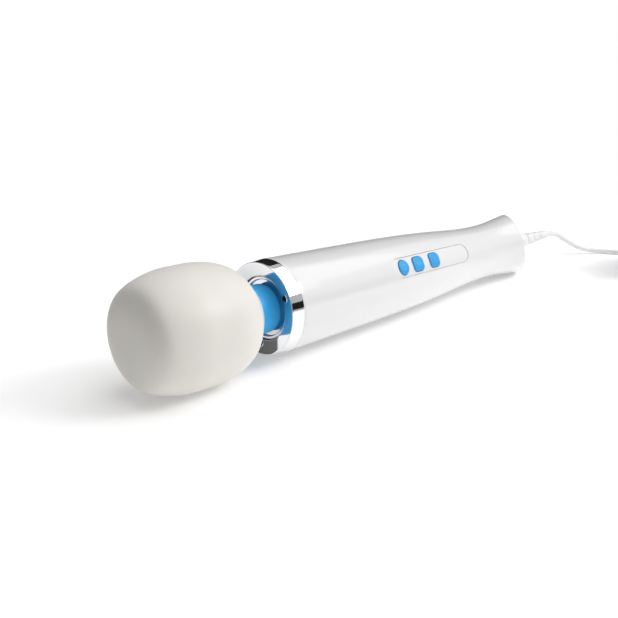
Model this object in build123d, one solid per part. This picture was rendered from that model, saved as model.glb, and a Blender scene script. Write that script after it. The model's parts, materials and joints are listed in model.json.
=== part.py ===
"""Handheld rechargeable wand massager, lying on its side on a flat surface.

Wand frame, used for modelling: +X runs along the axis from the head to the tail, x = 0 is the front
plane of the collar, and +Z is the way the buttons face. seat() then rolls, tilts and lowers the whole
wand so that the head and the tail rim rest on z = 0. All sizes are in millimetres.
"""

import os
from math import cos, pi, radians, sin, tan

from build123d import *

# ---- fits and clearances
RUN_GAP = 0.05  # a shaft in its bush or bearing, on the radius
FIT_GAP = 0.1  # pieces of one body that slip together
SEAL_GAP = 0.3  # pieces that move past each other
BUTTON_GAP = 0.3  # a button in its hole
BUTTON_TRAVEL = 1.0

# ---- how the wand lies
ROLL = 62.4  # from buttons facing up to buttons facing the front

# ---- head: soft cap over a two-part hard core
HEAD_R = 30.7
HEAD_FRONT = -80.2  # tip of the head
HEAD_BACK = -10.3  # face round the neck opening
HEAD_BAND = 11.0  # straight band round the widest part, where attachments grip
HEAD_BAND_FORWARD = 2.05  # of the middle of the head
CAP_WALL = 5.4
CORE_WALL = 2.6
CORE_BACK = -12.7
CORE_LAP = 4.0
CORE_SPLIT_FORWARD = 3.0  # of the middle of the core
CORE_EDGE = 8.0  # bevel round the front core
CORE_TAPER = 0.75  # radius at the back of the rear core's slope, as a share of its full radius
SOCKET_DEPTH = 4.0
SOCKET_FLOOR = 2.0

# ---- eccentric drive in the head
SHAFT_R = 3.0
BEARING_R = 9.5
BEARING_WIDTH = 6.0
BEARING_BOSS = 2.7
WEIGHT_R = 15.0
WEIGHT_LENGTH = 22.0
WEIGHT_HUB_R = 6.5
WEIGHT_FRONT_GAP = 8.0
SHAFT_SPACE = 6.0  # between the motor's shaft and the weight's shaft

# ---- neck
NECK_PIVOT = -3.0
BOOT_R = 13.0
BOOT_WAIST = 2.0  # how deep the boot's groove is, under the lip ring
BOOT_FLANGE = 3.0
BOOT_FLANGE_STEP = 1.5  # how far the flange stands out past the boot
TUBE_R = 8.2
TUBE_WALL = 1.6
COUPLING_R = 5.5
COUPLING_GRIP = 9.0

# ---- collar
COLLAR_R = 24.5  # at its front edge
COLLAR_LENGTH = 8.0
COLLAR_DISH = 2.4
LIP_FRONT = 3.4  # just below the dish's inner edge
COLLAR_WEB = 4.1  # thickness of the collar's front wall
COLLAR_SPIGOT = 8.0
SPIGOT_WALL = 1.4
LIP_GAP = 1.9  # room round the boot, for the neck to bend
LIP_WALL = 2.0
BULKHEAD_FLOOR = 3.8
COLLAR_SCREWS = 3
COLLAR_SCREW_CLEAR = 0.4  # from the lip ring to a screw's head
COLLAR_SCREW_R = 1.0
COLLAR_SCREW_HEAD_R = 1.75

# ---- handle: stations (x) and radii of its outline
SHOULDER_R = 25.2
GRIP_FRONT_X, GRIP_FRONT_R = 75.0, 23.9
GRIP_REAR_X, GRIP_REAR_R = 145.0, 20.95
TAIL_X = 245.0  # where the slanted end face crosses the axis
WAIST_BACK, WAIST_R = 33.0, 18.1
FLARE_BACK, FLARE_R = 0.0, 21.2
FLARE_OVER, FLARE_END_R = 22.0, 22.6
TAIL_SLANT = 40.0
HANDLE_WALL = 2.6

# ---- motor
MOTOR_R = 17.0
MOTOR_LENGTH = 42.0
MOTOR_GAP = 3.0  # between the bulkhead and the motor
CAN_WALL = 1.4
BELL = 3.0
MAGNET = 2.1
ROTOR_GAP = 0.6
ROTOR_LENGTH = 22.0
ROTOR_START = 5.0  # from the front bell to the rotor's stack
WINDING_LENGTH = 3.0
COMMUTATOR_LENGTH = 5.0
BUSH_R = 5.5
MOUNT_RING = 4.0

# ---- control panel
PANEL_FRONT, PANEL_REAR = 84.0, 163.0
PANEL_HALF = 5.9
PANEL_RECESS = 0.35
PANEL_FLANGE = 1.5
PANEL_FLANGE_THICK = 1.05
BUTTON_XS = (93.6, 107.9, 124.4)
ROUND_BUTTON_R = 4.45
SQUARE_BUTTON = (9.9, 8.6)
BUTTON_CORNER = 2.5
BUTTON_PROUD = 0.35
BUTTON_FLANGE = 0.8
BUTTON_FLANGE_THICK = 0.8
DOME_R = 3.0
DOME_HEIGHT = 1.2
BOARD = (52.0, 18.0, 1.6)
BOARD_X = 109.0
BOARD_TOP = 14.0
BOARD_GRIP = 1.2

# ---- power
CELL_R = 9.15
CELL_COUNT = 2
CELL_GAP = 2.0
CELL_DROP = 3.0
CRADLE_WALL = 1.1
JACK_R = 5.4
JACK_LENGTH = 14.0
BARREL_R = 2.75
BARREL_WALL = 0.9
BARREL_LENGTH = 9.5
POCKET_R = 7.2
POCKET_WALL = 1.6
POCKET_DEPTH = 14.0
END_CAP = 3.0
SHELL_SCREW_R = 1.3
SHELL_SCREW_HEAD_R = 2.4
SHELL_SCREW_SUNK = 9.0
SHELL_SCREW_REACH = 8.0
SCREW_BAY = 12.0  # room for a shell screw at each end of the cells

# ---- charging lead
PLUG_R = 5.8
PLUG_LENGTH = 26.0
RELIEF_LENGTH = 34.0
RELIEF_END_R = 2.9
CORD_R = 1.8
COIL_MID_R = 20.5
COIL_COLUMNS, COIL_LAYERS = 3, 4
COIL_AT = (238.0, -73.5)
TIE_WIDTH, TIE_THICK = 9.0, 0.9
ADAPTER = (54.0, 34.0, 25.0)
ADAPTER_AT = (234.0, -75.5)
ADAPTER_EDGE = 3.5
ADAPTER_WALL = 2.2
ADAPTER_RELIEF = 20.0
ADAPTER_RELIEF_R = 4.2
BLADE = (16.0, 1.6, 6.4)
BLADE_SPACING = 12.7
# the lead from the plug to the coil, and from the coil to the adapter, on the laid wand's own ground
CORD_TO_COIL = [(213.5, 0.0, 20.6), (228.0, -3.5, 11.5), (242.0, -10.5, 3.4), (254.0, -21.5, 1.8),
                (261.0, -37.0, 1.8), (262.1, -54.0, 1.9)]
CORD_TO_ADAPTER = [(206.0, -99.0, 16.0), (185.0, -100.0, 20.5), (173.0, -92.0, 24.5), (172.0, -81.0, 27.0),
                   (178.0, -75.5, 27.8)]

# ---- derived places
SHOULDER_X = COLLAR_LENGTH
ADAPTER_Z = TIE_THICK + 2 * COIL_LAYERS * CORD_R + ADAPTER[2] / 2
WAIST_X = TAIL_X - WAIST_BACK
FLARE_X = TAIL_X - FLARE_BACK
FLARE_END_X = TAIL_X + FLARE_OVER
CORE_R = HEAD_R - CAP_WALL
CORE_FRONT = HEAD_FRONT + CAP_WALL
HEAD_BAND_X = (HEAD_FRONT + HEAD_BACK) / 2 - HEAD_BAND_FORWARD
CORE_SPLIT = (CORE_FRONT + CORE_BACK) / 2 - CORE_SPLIT_FORWARD
SOCKET_R = BOOT_R - SEAL_GAP
BOOT_FRONT = CORE_BACK - SOCKET_DEPTH
BEARING_FLOOR = BOOT_FRONT - SOCKET_FLOOR
BOOT_WAIST_R = BOOT_R - BOOT_WAIST
BOOT_FLANGE_R = BOOT_R + BOOT_FLANGE_STEP
LIP_BORE_R = BOOT_R + LIP_GAP
LIP_R = LIP_BORE_R + LIP_WALL
COLLAR_SCREW_AT = LIP_R + COLLAR_SCREW_CLEAR + COLLAR_SCREW_HEAD_R
LIP_BACK = COLLAR_LENGTH
FLANGE_BACK = LIP_BACK + FIT_GAP + BOOT_FLANGE
BULKHEAD_BACK = FLANGE_BACK + BULKHEAD_FLOOR
SPIGOT_R = SHOULDER_R - HANDLE_WALL - FIT_GAP
BULKHEAD_R = SPIGOT_R - SPIGOT_WALL - FIT_GAP
TUBE_END = FLANGE_BACK + 0.7
MOTOR_FRONT = BULKHEAD_BACK + MOTOR_GAP
MOTOR_BACK = MOTOR_FRONT + MOTOR_LENGTH
POCKET_FLOOR = TAIL_X - POCKET_DEPTH
JACK_FRONT = POCKET_FLOOR - JACK_LENGTH
CELL_START = MOTOR_BACK + SCREW_BAY
CELL_END = JACK_FRONT - SCREW_BAY
SHELL_SCREW_XS = (CELL_START - SCREW_BAY / 2, CELL_END + SCREW_BAY / 2)
CELL_LENGTH = (CELL_END - CELL_START - (CELL_COUNT - 1) * CELL_GAP) / CELL_COUNT
PLUG_BACK = POCKET_FLOOR + SEAL_GAP + PLUG_LENGTH
RELIEF_BACK = PLUG_BACK + RELIEF_LENGTH

HANDLE_BODY, WEIGHT_BODY, ROTOR_BODY, HEAD_BODY, NECK_BODY = "handle", "weight", "rotor", "head", "neck"
nodes = {}


def turned(*corners):
    """Ring or disc about the wand's axis, from the corners (x, r) of its half section."""
    outline = Polyline(*[(x, 0, r) for x, r in corners], close=True)
    return revolve(make_face(outline), Axis.X)


def rod(x0, x1, radius, y=0.0, z=0.0):
    """Cylinder parallel to the axis."""
    return Pos((x0 + x1) / 2, y, z) * Rot(0, 90, 0) * Cylinder(radius, x1 - x0)


def tube(x0, x1, outer, inner):
    """Plain tube on the axis."""
    return turned((x0, inner), (x0, outer), (x1, outer), (x1, inner))


def block(x0, x1, y0, y1, z0, z1):
    """Box given by its limits."""
    return Pos((x0 + x1) / 2, (y0 + y1) / 2, (z0 + z1) / 2) * Box(x1 - x0, y1 - y0, z1 - z0)


def behind(shape, x):
    """The part of shape in front of the slanted plane that crosses the axis at x."""
    slant = radians(TAIL_SLANT)
    plane = Plane(origin=(x, 0, 0), z_dir=(cos(slant), 0, sin(slant)))
    return split(shape, bisect_by=plane, keep=Keep.BOTTOM)


def outline_curve(inset):
    """Long side of the handle from the collar to past the tail, moved inwards by inset."""
    spots = [
        (SHOULDER_X, SHOULDER_R),
        (GRIP_FRONT_X, GRIP_FRONT_R),
        (GRIP_REAR_X, GRIP_REAR_R),
        (WAIST_X, WAIST_R),
        (FLARE_X, FLARE_R),
        (FLARE_END_X, FLARE_END_R),
    ]
    return Spline(*[(x, 0, r - inset) for x, r in spots])


def handle_outline(inset):
    """Solid of the handle's outline, all of it moved inwards by inset and cut by the slanted end."""
    curve = outline_curve(inset)
    front, back = (SHOULDER_X, 0, 0), (FLARE_END_X, 0, 0)
    sides = Polyline(curve @ 1, back, front, curve @ 0)
    return behind(revolve(make_face([curve, sides]), Axis.X), TAIL_X)


def cap_outline():
    """Half section curve of the soft head, from the tip on the axis round to the neck opening."""
    band0, band1 = HEAD_BAND_X - HEAD_BAND / 2, HEAD_BAND_X + HEAD_BAND / 2
    front_arc = Spline(
        (HEAD_FRONT, 0, HEAD_R - 13.8),
        (HEAD_FRONT + 4.2, 0, HEAD_R - 6.7),
        (HEAD_FRONT + 10.5, 0, HEAD_R - 3.2),
        (band0, 0, HEAD_R),
        tangents=[(0.1, 0, 1), (1, 0, 0)])
    back_arc = Spline(
        (band1, 0, HEAD_R),
        (HEAD_BACK - 17.0, 0, HEAD_R - 2.3),
        (HEAD_BACK - 10.0, 0, HEAD_R - 5.8),
        (HEAD_BACK - 4.7, 0, HEAD_R - 11.1),
        (HEAD_BACK, 0, SOCKET_R + 0.9),
        tangents=[(1, 0, 0), (0.2, 0, -1)])
    return front_arc, Line((band0, 0, HEAD_R), (band1, 0, HEAD_R)), back_arc


def polar(count, radius, first=0.0):
    """(y, z) of count places round the axis, the first one in line with the buttons."""
    turns = [radians(first + 360 * i / count) for i in range(count)]
    return [(radius * sin(t), radius * cos(t)) for t in turns]


# ---- head ------------------------------------------------------------------------------------------
def core_front_section(grow=0.0):
    """Outer corners of the front core, grown outwards for the cap's inside."""
    return [(CORE_FRONT - grow, 0), (CORE_FRONT - grow, CORE_R - CORE_EDGE),
            (CORE_FRONT + CORE_EDGE, CORE_R + grow), (CORE_SPLIT, CORE_R + grow)]


def core_rear_section(grow=0.0):
    """Outer corners of the rear core, grown outwards for the cap's inside."""
    taper_x, taper_r = CORE_BACK - 5.5, CORE_R * CORE_TAPER
    return [(CORE_SPLIT, CORE_R + grow), (CORE_BACK - 17.0, CORE_R + grow), (taper_x, taper_r + grow),
            (CORE_BACK, SOCKET_R + 2.3 + grow)]


def head_cap():
    """Soft silicone cap, hollow where the core is."""
    front_arc, band, back_arc = cap_outline()
    tip, rim = front_arc @ 0, back_arc @ 1
    inner = core_front_section(FIT_GAP) + core_rear_section(FIT_GAP)[1:]
    hollow = [(x, 0, r) for x, r in inner[::-1]]
    closing = Polyline((rim.X, 0, rim.Z), (CORE_BACK + 0.4, 0, inner[-1][1]), *hollow, (HEAD_FRONT, 0, 0),
                       (tip.X, 0, tip.Z))
    return revolve(make_face([front_arc, band, back_arc, closing]), Axis.X)


def core_front():
    """Hard front cup with a boss for the front bearing and a lap into the rear cup."""
    wall, boss = CORE_WALL, BEARING_R + BEARING_BOSS
    inside = CORE_FRONT + wall
    boss_back = inside + BEARING_WIDTH
    lap_r = CORE_R - wall
    lap0, lap1, lap_inside = CORE_SPLIT - CORE_LAP, CORE_SPLIT + CORE_LAP, lap_r - 1.2
    corners = core_front_section() + [
        (CORE_SPLIT, lap_r), (lap1, lap_r), (lap1, lap_inside), (lap0, lap_inside), (lap0, lap_r),
        (CORE_FRONT + CORE_EDGE + 1, lap_r), (inside, CORE_R - CORE_EDGE - 1.3), (inside, boss),
        (boss_back, boss), (boss_back, BEARING_R + FIT_GAP), (inside, BEARING_R + FIT_GAP), (inside, 0)]
    return turned(*corners)


def core_rear():
    """Hard rear cup with the rear bearing's seat and the socket that takes the neck."""
    wall, boss = CORE_WALL, BEARING_R + BEARING_BOSS
    pocket = BEARING_FLOOR - BEARING_WIDTH
    corners = core_rear_section() + [
        (CORE_BACK, SOCKET_R + FIT_GAP), (BOOT_FRONT, SOCKET_R + FIT_GAP),
        (BOOT_FRONT, COUPLING_R + 1.0), (BEARING_FLOOR, COUPLING_R + 1.0),
        (BEARING_FLOOR, BEARING_R + FIT_GAP), (pocket, BEARING_R + FIT_GAP),
        (pocket, boss), (BEARING_FLOOR - 2.2, boss),
        (BEARING_FLOOR - 2.2, CORE_R * CORE_TAPER - wall + 0.8),
        (CORE_BACK - 18.2, CORE_R - wall + FIT_GAP), (CORE_SPLIT, CORE_R - wall + FIT_GAP)]
    return turned(*corners)


def bearing(x0):
    """Ball bearing drawn as its two rings joined by the shielded gap between them."""
    groove = 0.3
    mid = (SHAFT_R + BEARING_R) / 2
    return turned(
        (x0, SHAFT_R + RUN_GAP), (x0, mid - 1.3), (x0 + groove, mid - 1.3), (x0 + groove, mid + 1.3),
        (x0, mid + 1.3), (x0, BEARING_R), (x0 + BEARING_WIDTH, BEARING_R), (x0 + BEARING_WIDTH, mid + 1.3),
        (x0 + BEARING_WIDTH - groove, mid + 1.3), (x0 + BEARING_WIDTH - groove, mid - 1.3),
        (x0 + BEARING_WIDTH, mid - 1.3), (x0 + BEARING_WIDTH, SHAFT_R + RUN_GAP))


def eccentric_weight():
    """Half disc of steel with a full hub, bored to press on the shaft."""
    front = CORE_FRONT + CORE_WALL + BEARING_WIDTH + WEIGHT_FRONT_GAP
    back = front + WEIGHT_LENGTH
    half = rod(front, back, WEIGHT_R) & block(front, back, -WEIGHT_R, WEIGHT_R, -WEIGHT_R, 0)
    hub = rod(front - 1.5, back + 1.5, WEIGHT_HUB_R)
    return half + hub - rod(front - 2, back + 2, SHAFT_R)


front_bearing_x = CORE_FRONT + CORE_WALL
nodes["head_cap"] = (HEAD_BODY, head_cap())
nodes["head_core_front"] = (HEAD_BODY, core_front())
nodes["head_core_rear"] = (HEAD_BODY, core_rear())
nodes["front_bearing"] = (HEAD_BODY, bearing(front_bearing_x))
nodes["rear_bearing"] = (HEAD_BODY, bearing(BEARING_FLOOR - BEARING_WIDTH))
nodes["eccentric_weight"] = (WEIGHT_BODY, eccentric_weight())
nodes["weight_shaft"] = (WEIGHT_BODY, rod(front_bearing_x + SEAL_GAP, NECK_PIVOT - SHAFT_SPACE / 2, SHAFT_R))


# ---- neck ------------------------------------------------------------------------------------------
def neck_boot():
    """Blue rubber boot from the head's socket to the flange that the lip ring clamps."""
    tuck = 1.8
    return turned(
        (BOOT_FRONT, SOCKET_R), (CORE_BACK, SOCKET_R), (CORE_BACK + 1, BOOT_R), (tuck, BOOT_R),
        (tuck + 1.4, BOOT_R - 0.6), (tuck + 2.4, BOOT_WAIST_R), (LIP_BACK + FIT_GAP, BOOT_WAIST_R),
        (LIP_BACK + FIT_GAP, BOOT_FLANGE_R), (FLANGE_BACK, BOOT_FLANGE_R), (FLANGE_BACK, TUBE_R + SEAL_GAP),
        (BOOT_FRONT, TUBE_R + SEAL_GAP))


nodes["neck_boot"] = (NECK_BODY, neck_boot())
nodes["neck_tube"] = (NECK_BODY, tube(BOOT_FRONT, TUBE_END, TUBE_R, TUBE_R - TUBE_WALL))
coupling_reach = SHAFT_SPACE / 2 + COUPLING_GRIP
coupling_front, coupling_back = NECK_PIVOT - coupling_reach, NECK_PIVOT + coupling_reach
nodes["drive_coupling"] = (ROTOR_BODY, tube(coupling_front, coupling_back, COUPLING_R, SHAFT_R + RUN_GAP))


# ---- collar ----------------------------------------------------------------------------------------
def screw_holes(x0, x1, radius):
    """Round cuts for the collar screws."""
    return [rod(x0, x1, radius, y, z) for y, z in polar(COLLAR_SCREWS, COLLAR_SCREW_AT)]


def collar_ring():
    """Bright collar: a band with a shallow dished front and a spigot that goes into the handle."""
    edge = 0.4
    bore = LIP_R + 2 * FIT_GAP
    ring = turned(
        (0, COLLAR_R - edge), (edge, COLLAR_R), (COLLAR_LENGTH, SHOULDER_R), (COLLAR_LENGTH, SPIGOT_R),
        (COLLAR_LENGTH + COLLAR_SPIGOT, SPIGOT_R), (COLLAR_LENGTH + COLLAR_SPIGOT, SPIGOT_R - SPIGOT_WALL),
        (COLLAR_DISH + COLLAR_WEB, SPIGOT_R - SPIGOT_WALL), (COLLAR_DISH + COLLAR_WEB, bore),
        (COLLAR_DISH, bore))
    seats = screw_holes(-1, COLLAR_DISH + 1, COLLAR_SCREW_HEAD_R + FIT_GAP)
    return ring - screw_holes(0, COLLAR_LENGTH, COLLAR_SCREW_R + FIT_GAP) - seats


def lip_ring():
    """Ring round the neck, with a flange behind the collar and a lip that holds the boot's flange."""
    flange_front = COLLAR_DISH + COLLAR_WEB + FIT_GAP
    flange_r = BULKHEAD_R - 0.2
    step = LIP_BACK - 3.0
    ring = turned(
        (LIP_FRONT + 0.8, LIP_BORE_R), (LIP_FRONT, LIP_BORE_R + 0.6), (LIP_FRONT, LIP_R - 0.6),
        (LIP_FRONT + 0.6, LIP_R), (flange_front, LIP_R),
        (flange_front, flange_r), (LIP_BACK, flange_r), (LIP_BACK, BOOT_WAIST_R + SEAL_GAP),
        (step, BOOT_WAIST_R + SEAL_GAP), (step, LIP_BORE_R))
    return ring - screw_holes(0, COLLAR_LENGTH + 1, COLLAR_SCREW_R + FIT_GAP)


def bulkhead():
    """Plate that closes the front of the handle, backs the boot and takes the collar screws."""
    front = LIP_BACK + FIT_GAP
    seat = BOOT_FLANGE_R + 0.2
    shaft_hole = TUBE_R - TUBE_WALL + 0.2
    plate = turned(
        (front, seat), (front, BULKHEAD_R), (BULKHEAD_BACK, BULKHEAD_R), (BULKHEAD_BACK, shaft_hole),
        (TUBE_END, shaft_hole), (TUBE_END, TUBE_R + 0.2), (FLANGE_BACK, TUBE_R + 0.2), (FLANGE_BACK, seat))
    return plate - screw_holes(front - 1, BULKHEAD_BACK - 1.5, COLLAR_SCREW_R + RUN_GAP)


def collar_screws():
    """Three socket screws, each with a hexagon recess."""
    made = []
    head_back = COLLAR_DISH + 1 - FIT_GAP
    for y, z in polar(COLLAR_SCREWS, COLLAR_SCREW_AT):
        head = rod(head_back - 1.7, head_back, COLLAR_SCREW_HEAD_R, y, z)
        shank = rod(head_back - 0.2, BULKHEAD_BACK - 2.0, COLLAR_SCREW_R, y, z)
        socket = Pos(head_back - 1.7, y, z) * Rot(0, 90, 0) * extrude(RegularPolygon(1.0, 6), 0.9)
        made.append(head + shank - socket)
    return Compound(children=made)


nodes["collar_ring"] = (HANDLE_BODY, collar_ring())
nodes["lip_ring"] = (HANDLE_BODY, lip_ring())
nodes["bulkhead"] = (HANDLE_BODY, bulkhead())
nodes["collar_screws"] = (HANDLE_BODY, collar_screws())


# ---- motor -----------------------------------------------------------------------------------------
def motor_bell(x0, x1):
    """End bell of the motor, bored for its bush."""
    return tube(x0, x1, MOTOR_R, BUSH_R + FIT_GAP)


def motor_magnets():
    """Two curved magnets inside the can."""
    outer = MOTOR_R - CAN_WALL - FIT_GAP
    length0, length1 = rotor_front - 1.0, rotor_front + ROTOR_LENGTH + 1.0
    ring = tube(length0, length1, outer, outer - MAGNET)
    gap = block(length0, length1, -4.5, 4.5, -outer, outer)
    return ring - gap


def winding_ring(x0):
    """Copper end turns beside the rotor's stack."""
    reach = MOTOR_R - CAN_WALL - MAGNET - 3.2
    return tube(x0, x0 + WINDING_LENGTH, reach, SHAFT_R + 2.0)


def rotor_stack():
    """Laminated stack with five slots."""
    reach = MOTOR_R - CAN_WALL - FIT_GAP - MAGNET - ROTOR_GAP
    stack = tube(rotor_front, rotor_front + ROTOR_LENGTH, reach, SHAFT_R)
    slots = []
    for i in range(5):
        cut = block(rotor_front - 1, rotor_front + ROTOR_LENGTH + 1, -1.0, 1.0, reach - 5.0, reach + 1)
        slots.append(Rot(i * 72, 0, 0) * cut)
    return stack - slots


def commutator():
    """Copper commutator behind the rotor."""
    start = rotor_front + ROTOR_LENGTH + WINDING_LENGTH + 0.2
    return tube(start, start + COMMUTATOR_LENGTH, SHAFT_R + 2.5, SHAFT_R)


def mount_ring(x0):
    """Rubber ring that holds the motor clear of the handle's wall."""
    room = handle_outline(HANDLE_WALL + FIT_GAP)
    slab = block(x0, x0 + MOUNT_RING, -30, 30, -30, 30)
    return (room & slab) - rod(x0 - 1, x0 + MOUNT_RING + 1, MOTOR_R + FIT_GAP)


rotor_front = MOTOR_FRONT + BELL + ROTOR_START
nodes["motor_can"] = (HANDLE_BODY, tube(MOTOR_FRONT + BELL, MOTOR_BACK - BELL, MOTOR_R, MOTOR_R - CAN_WALL))
nodes["motor_front_bell"] = (HANDLE_BODY, motor_bell(MOTOR_FRONT, MOTOR_FRONT + BELL))
nodes["motor_rear_bell"] = (HANDLE_BODY, motor_bell(MOTOR_BACK - BELL, MOTOR_BACK))
nodes["motor_bushes"] = (HANDLE_BODY, Compound(children=[
    tube(x, x + BELL, BUSH_R, SHAFT_R + RUN_GAP) for x in (MOTOR_FRONT, MOTOR_BACK - BELL)]))
nodes["motor_magnets"] = (HANDLE_BODY, motor_magnets())
nodes["motor_mount_rings"] = (HANDLE_BODY, Compound(children=[
    mount_ring(MOTOR_FRONT + BELL + 1.0), mount_ring(MOTOR_BACK - BELL - 1.0 - MOUNT_RING)]))
nodes["motor_shaft"] = (ROTOR_BODY, rod(NECK_PIVOT + SHAFT_SPACE / 2, MOTOR_BACK - 0.5, SHAFT_R))
nodes["rotor_stack"] = (ROTOR_BODY, rotor_stack())
nodes["rotor_windings"] = (ROTOR_BODY, Compound(children=[
    winding_ring(rotor_front - WINDING_LENGTH), winding_ring(rotor_front + ROTOR_LENGTH)]))
nodes["commutator"] = (ROTOR_BODY, commutator())


# ---- control panel ---------------------------------------------------------------------------------
def oblong(grow, z0=0.0, z1=30.0):
    """Long round-ended prism over the control panel, grown by grow on every side."""
    half = PANEL_HALF + grow
    length = PANEL_REAR - PANEL_FRONT + 2 * grow
    face = Pos((PANEL_FRONT + PANEL_REAR) / 2, 0, z0) * SlotOverall(length, 2 * half)
    return extrude(face, z1 - z0)


def button_face(index, grow):
    """Outline of one button, grown by grow: the first is round and the others are rounded squares."""
    if index == 0:
        face = Circle(ROUND_BUTTON_R + grow)
    else:
        length, width = (side + 2 * grow for side in SQUARE_BUTTON)
        face = RectangleRounded(length, width, BUTTON_CORNER + grow)
    return Pos(BUTTON_XS[index], 0, 0) * face


def button_prism(index, grow, z0, z1):
    """Upright prism of one button's outline."""
    return extrude(Pos(0, 0, z0) * button_face(index, grow), z1 - z0)


def control_panel():
    """Inset panel: it fills the slot in the button shell and is held by a flange from inside."""
    face = (oblong(-FIT_GAP) & handle_outline(PANEL_RECESS)) - handle_outline(HANDLE_WALL)
    flange = oblong(PANEL_FLANGE) & handle_outline(HANDLE_WALL + FIT_GAP)
    flange -= handle_outline(HANDLE_WALL + PANEL_FLANGE_THICK)
    lap = (oblong(-FIT_GAP) & handle_outline(HANDLE_WALL - 0.2)) - handle_outline(HANDLE_WALL + 0.2)
    return face + lap + flange - [button_prism(i, BUTTON_GAP, 0, 30) for i in range(3)]


def button(index):
    """Button with a domed top that follows the handle, and a flange under the panel."""
    foot = BOARD_TOP + DOME_HEIGHT + RUN_GAP + BUTTON_TRAVEL
    stem = button_prism(index, 0, foot, 30) & handle_outline(-BUTTON_PROUD)
    flange = button_prism(index, BUTTON_FLANGE, foot, foot + BUTTON_FLANGE_THICK)
    return stem + flange


def control_board(grow=0.0):
    """Circuit board under the buttons, or that board grown to cut the grooves that hold it."""
    length, width, thick = (side + 2 * grow for side in BOARD)
    return Pos(BOARD_X, 0, BOARD_TOP - BOARD[2] / 2) * Box(length, width, thick)


def dome_switches():
    """Three low tact domes on the board."""
    return Compound(children=[
        Pos(x, 0, BOARD_TOP + DOME_HEIGHT / 2) * Cylinder(DOME_R, DOME_HEIGHT) for x in BUTTON_XS])


def board_parts():
    """Driver chip, inductor and connector on the underside of the board."""
    under = BOARD_TOP - BOARD[2]
    chip = block(BOARD_X - 16, BOARD_X - 9, -3.5, 3.5, under - 1.2, under)
    coil = Pos(BOARD_X + 2, 4.5, under - 1.5) * Cylinder(3.2, 3.0)
    socket = block(BOARD_X + 12, BOARD_X + 19, -5, 5, under - 2.8, under)
    return Compound(children=[chip, coil, socket])


nodes["control_panel"] = (HANDLE_BODY, control_panel())
nodes["power_button"] = ("power_button", button(0))
nodes["pattern_button"] = ("pattern_button", button(1))
nodes["speed_button"] = ("speed_button", button(2))
nodes["control_board"] = (HANDLE_BODY, control_board())
nodes["dome_switches"] = (HANDLE_BODY, dome_switches())
nodes["board_parts"] = (HANDLE_BODY, board_parts())


# ---- handle shells ---------------------------------------------------------------------------------
def half_space(upper):
    """Box over the button half, or under it for the rear half."""
    z0, z1 = (0, 60) if upper else (-60, 0)
    return block(SHOULDER_X - 1, FLARE_END_X + 40, -60, 60, z0, z1)


def shell_half(upper):
    """Plain half of the handle's tube."""
    outer, inner = outline_curve(0), outline_curve(HANDLE_WALL)
    section = make_face([outer, inner, Line(outer @ 0, inner @ 0), Line(outer @ 1, inner @ 1)])
    half = revolve(Rot(-90, 0, 0) * section, Axis.X, 180)
    wanted = half if (half.center().Z > 0) == upper else Rot(180, 0, 0) * half
    return behind(wanted, TAIL_X)


def button_shell():
    """Half with the panel's slot, grooved ribs that hold the board and bosses for the shell screws."""
    shell = shell_half(True) - oblong(0)
    room = handle_outline(HANDLE_WALL - 0.5) & half_space(True)
    edge, rib = BOARD[1] / 2 - BOARD_GRIP, 1.6
    for x in (BOARD_X - BOARD[0] / 2 + 4.0, BOARD_X, BOARD_X + BOARD[0] / 2 - 4.0):
        for y0, y1 in ((-30.0, -edge), (edge, 30.0)):
            grip = block(x - rib / 2, x + rib / 2, y0, y1, BOARD_TOP - 3.4, BOARD_TOP + 1.8)
            shell += (grip & room) - control_board(FIT_GAP)
    for x in SHELL_SCREW_XS:
        boss = (Pos(x, 0, 15) * Cylinder(SHELL_SCREW_R + 1.9, 30)) & room
        shell += boss
        shell -= Pos(x, 0, 0) * Cylinder(SHELL_SCREW_R + RUN_GAP, 2 * SHELL_SCREW_REACH + 1)
    return shell


def rear_shell():
    """Half that carries the cell cradle on ribs, with sunk holes for the shell screws."""
    shell = shell_half(False)
    room = handle_outline(HANDLE_WALL - 0.5) & half_space(False)
    cradle_room = rod(CELL_START - 20, CELL_END + 20, CELL_R + CRADLE_WALL + 2 * FIT_GAP, 0, -CELL_DROP)
    for i in range(5):
        x = CELL_START + 4.0 + i * (CELL_END - CELL_START - 10.0) / 4
        shell += (room & block(x, x + 2.0, -30, 30, -30, -CELL_DROP)) - cradle_room
    for x in SHELL_SCREW_XS:
        boss = (Pos(x, 0, -15) * Cylinder(SHELL_SCREW_HEAD_R + 1.6, 30)) & room
        shell += boss
        shell -= Pos(x, 0, -15) * Cylinder(SHELL_SCREW_R + FIT_GAP, 32)
        shell -= Pos(x, 0, -30 - SHELL_SCREW_SUNK) * Cylinder(SHELL_SCREW_HEAD_R + FIT_GAP, 60)
    return shell


def shell_screws():
    """Two long screws, sunk in the rear shell, that draw the halves together."""
    made = []
    for x in SHELL_SCREW_XS:
        head = Pos(x, 0, -SHELL_SCREW_SUNK - 1.0) * Cylinder(SHELL_SCREW_HEAD_R, 2.0)
        length = SHELL_SCREW_REACH + SHELL_SCREW_SUNK + 1.0
        shank = Pos(x, 0, SHELL_SCREW_REACH - length / 2) * Cylinder(SHELL_SCREW_R, length)
        made.append(head + shank)
    return Compound(children=made)


nodes["button_shell"] = (HANDLE_BODY, button_shell())
nodes["rear_shell"] = (HANDLE_BODY, rear_shell())
nodes["shell_screws"] = (HANDLE_BODY, shell_screws())


# ---- cells, jack and tail --------------------------------------------------------------------------
def cell(index):
    """Round lithium cell with its raised contact."""
    x0 = CELL_START + index * (CELL_LENGTH + CELL_GAP)
    can = rod(x0 + 1.0, x0 + CELL_LENGTH, CELL_R, 0, -CELL_DROP)
    return can + rod(x0, x0 + 1.5, CELL_R * 0.35, 0, -CELL_DROP)


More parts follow.
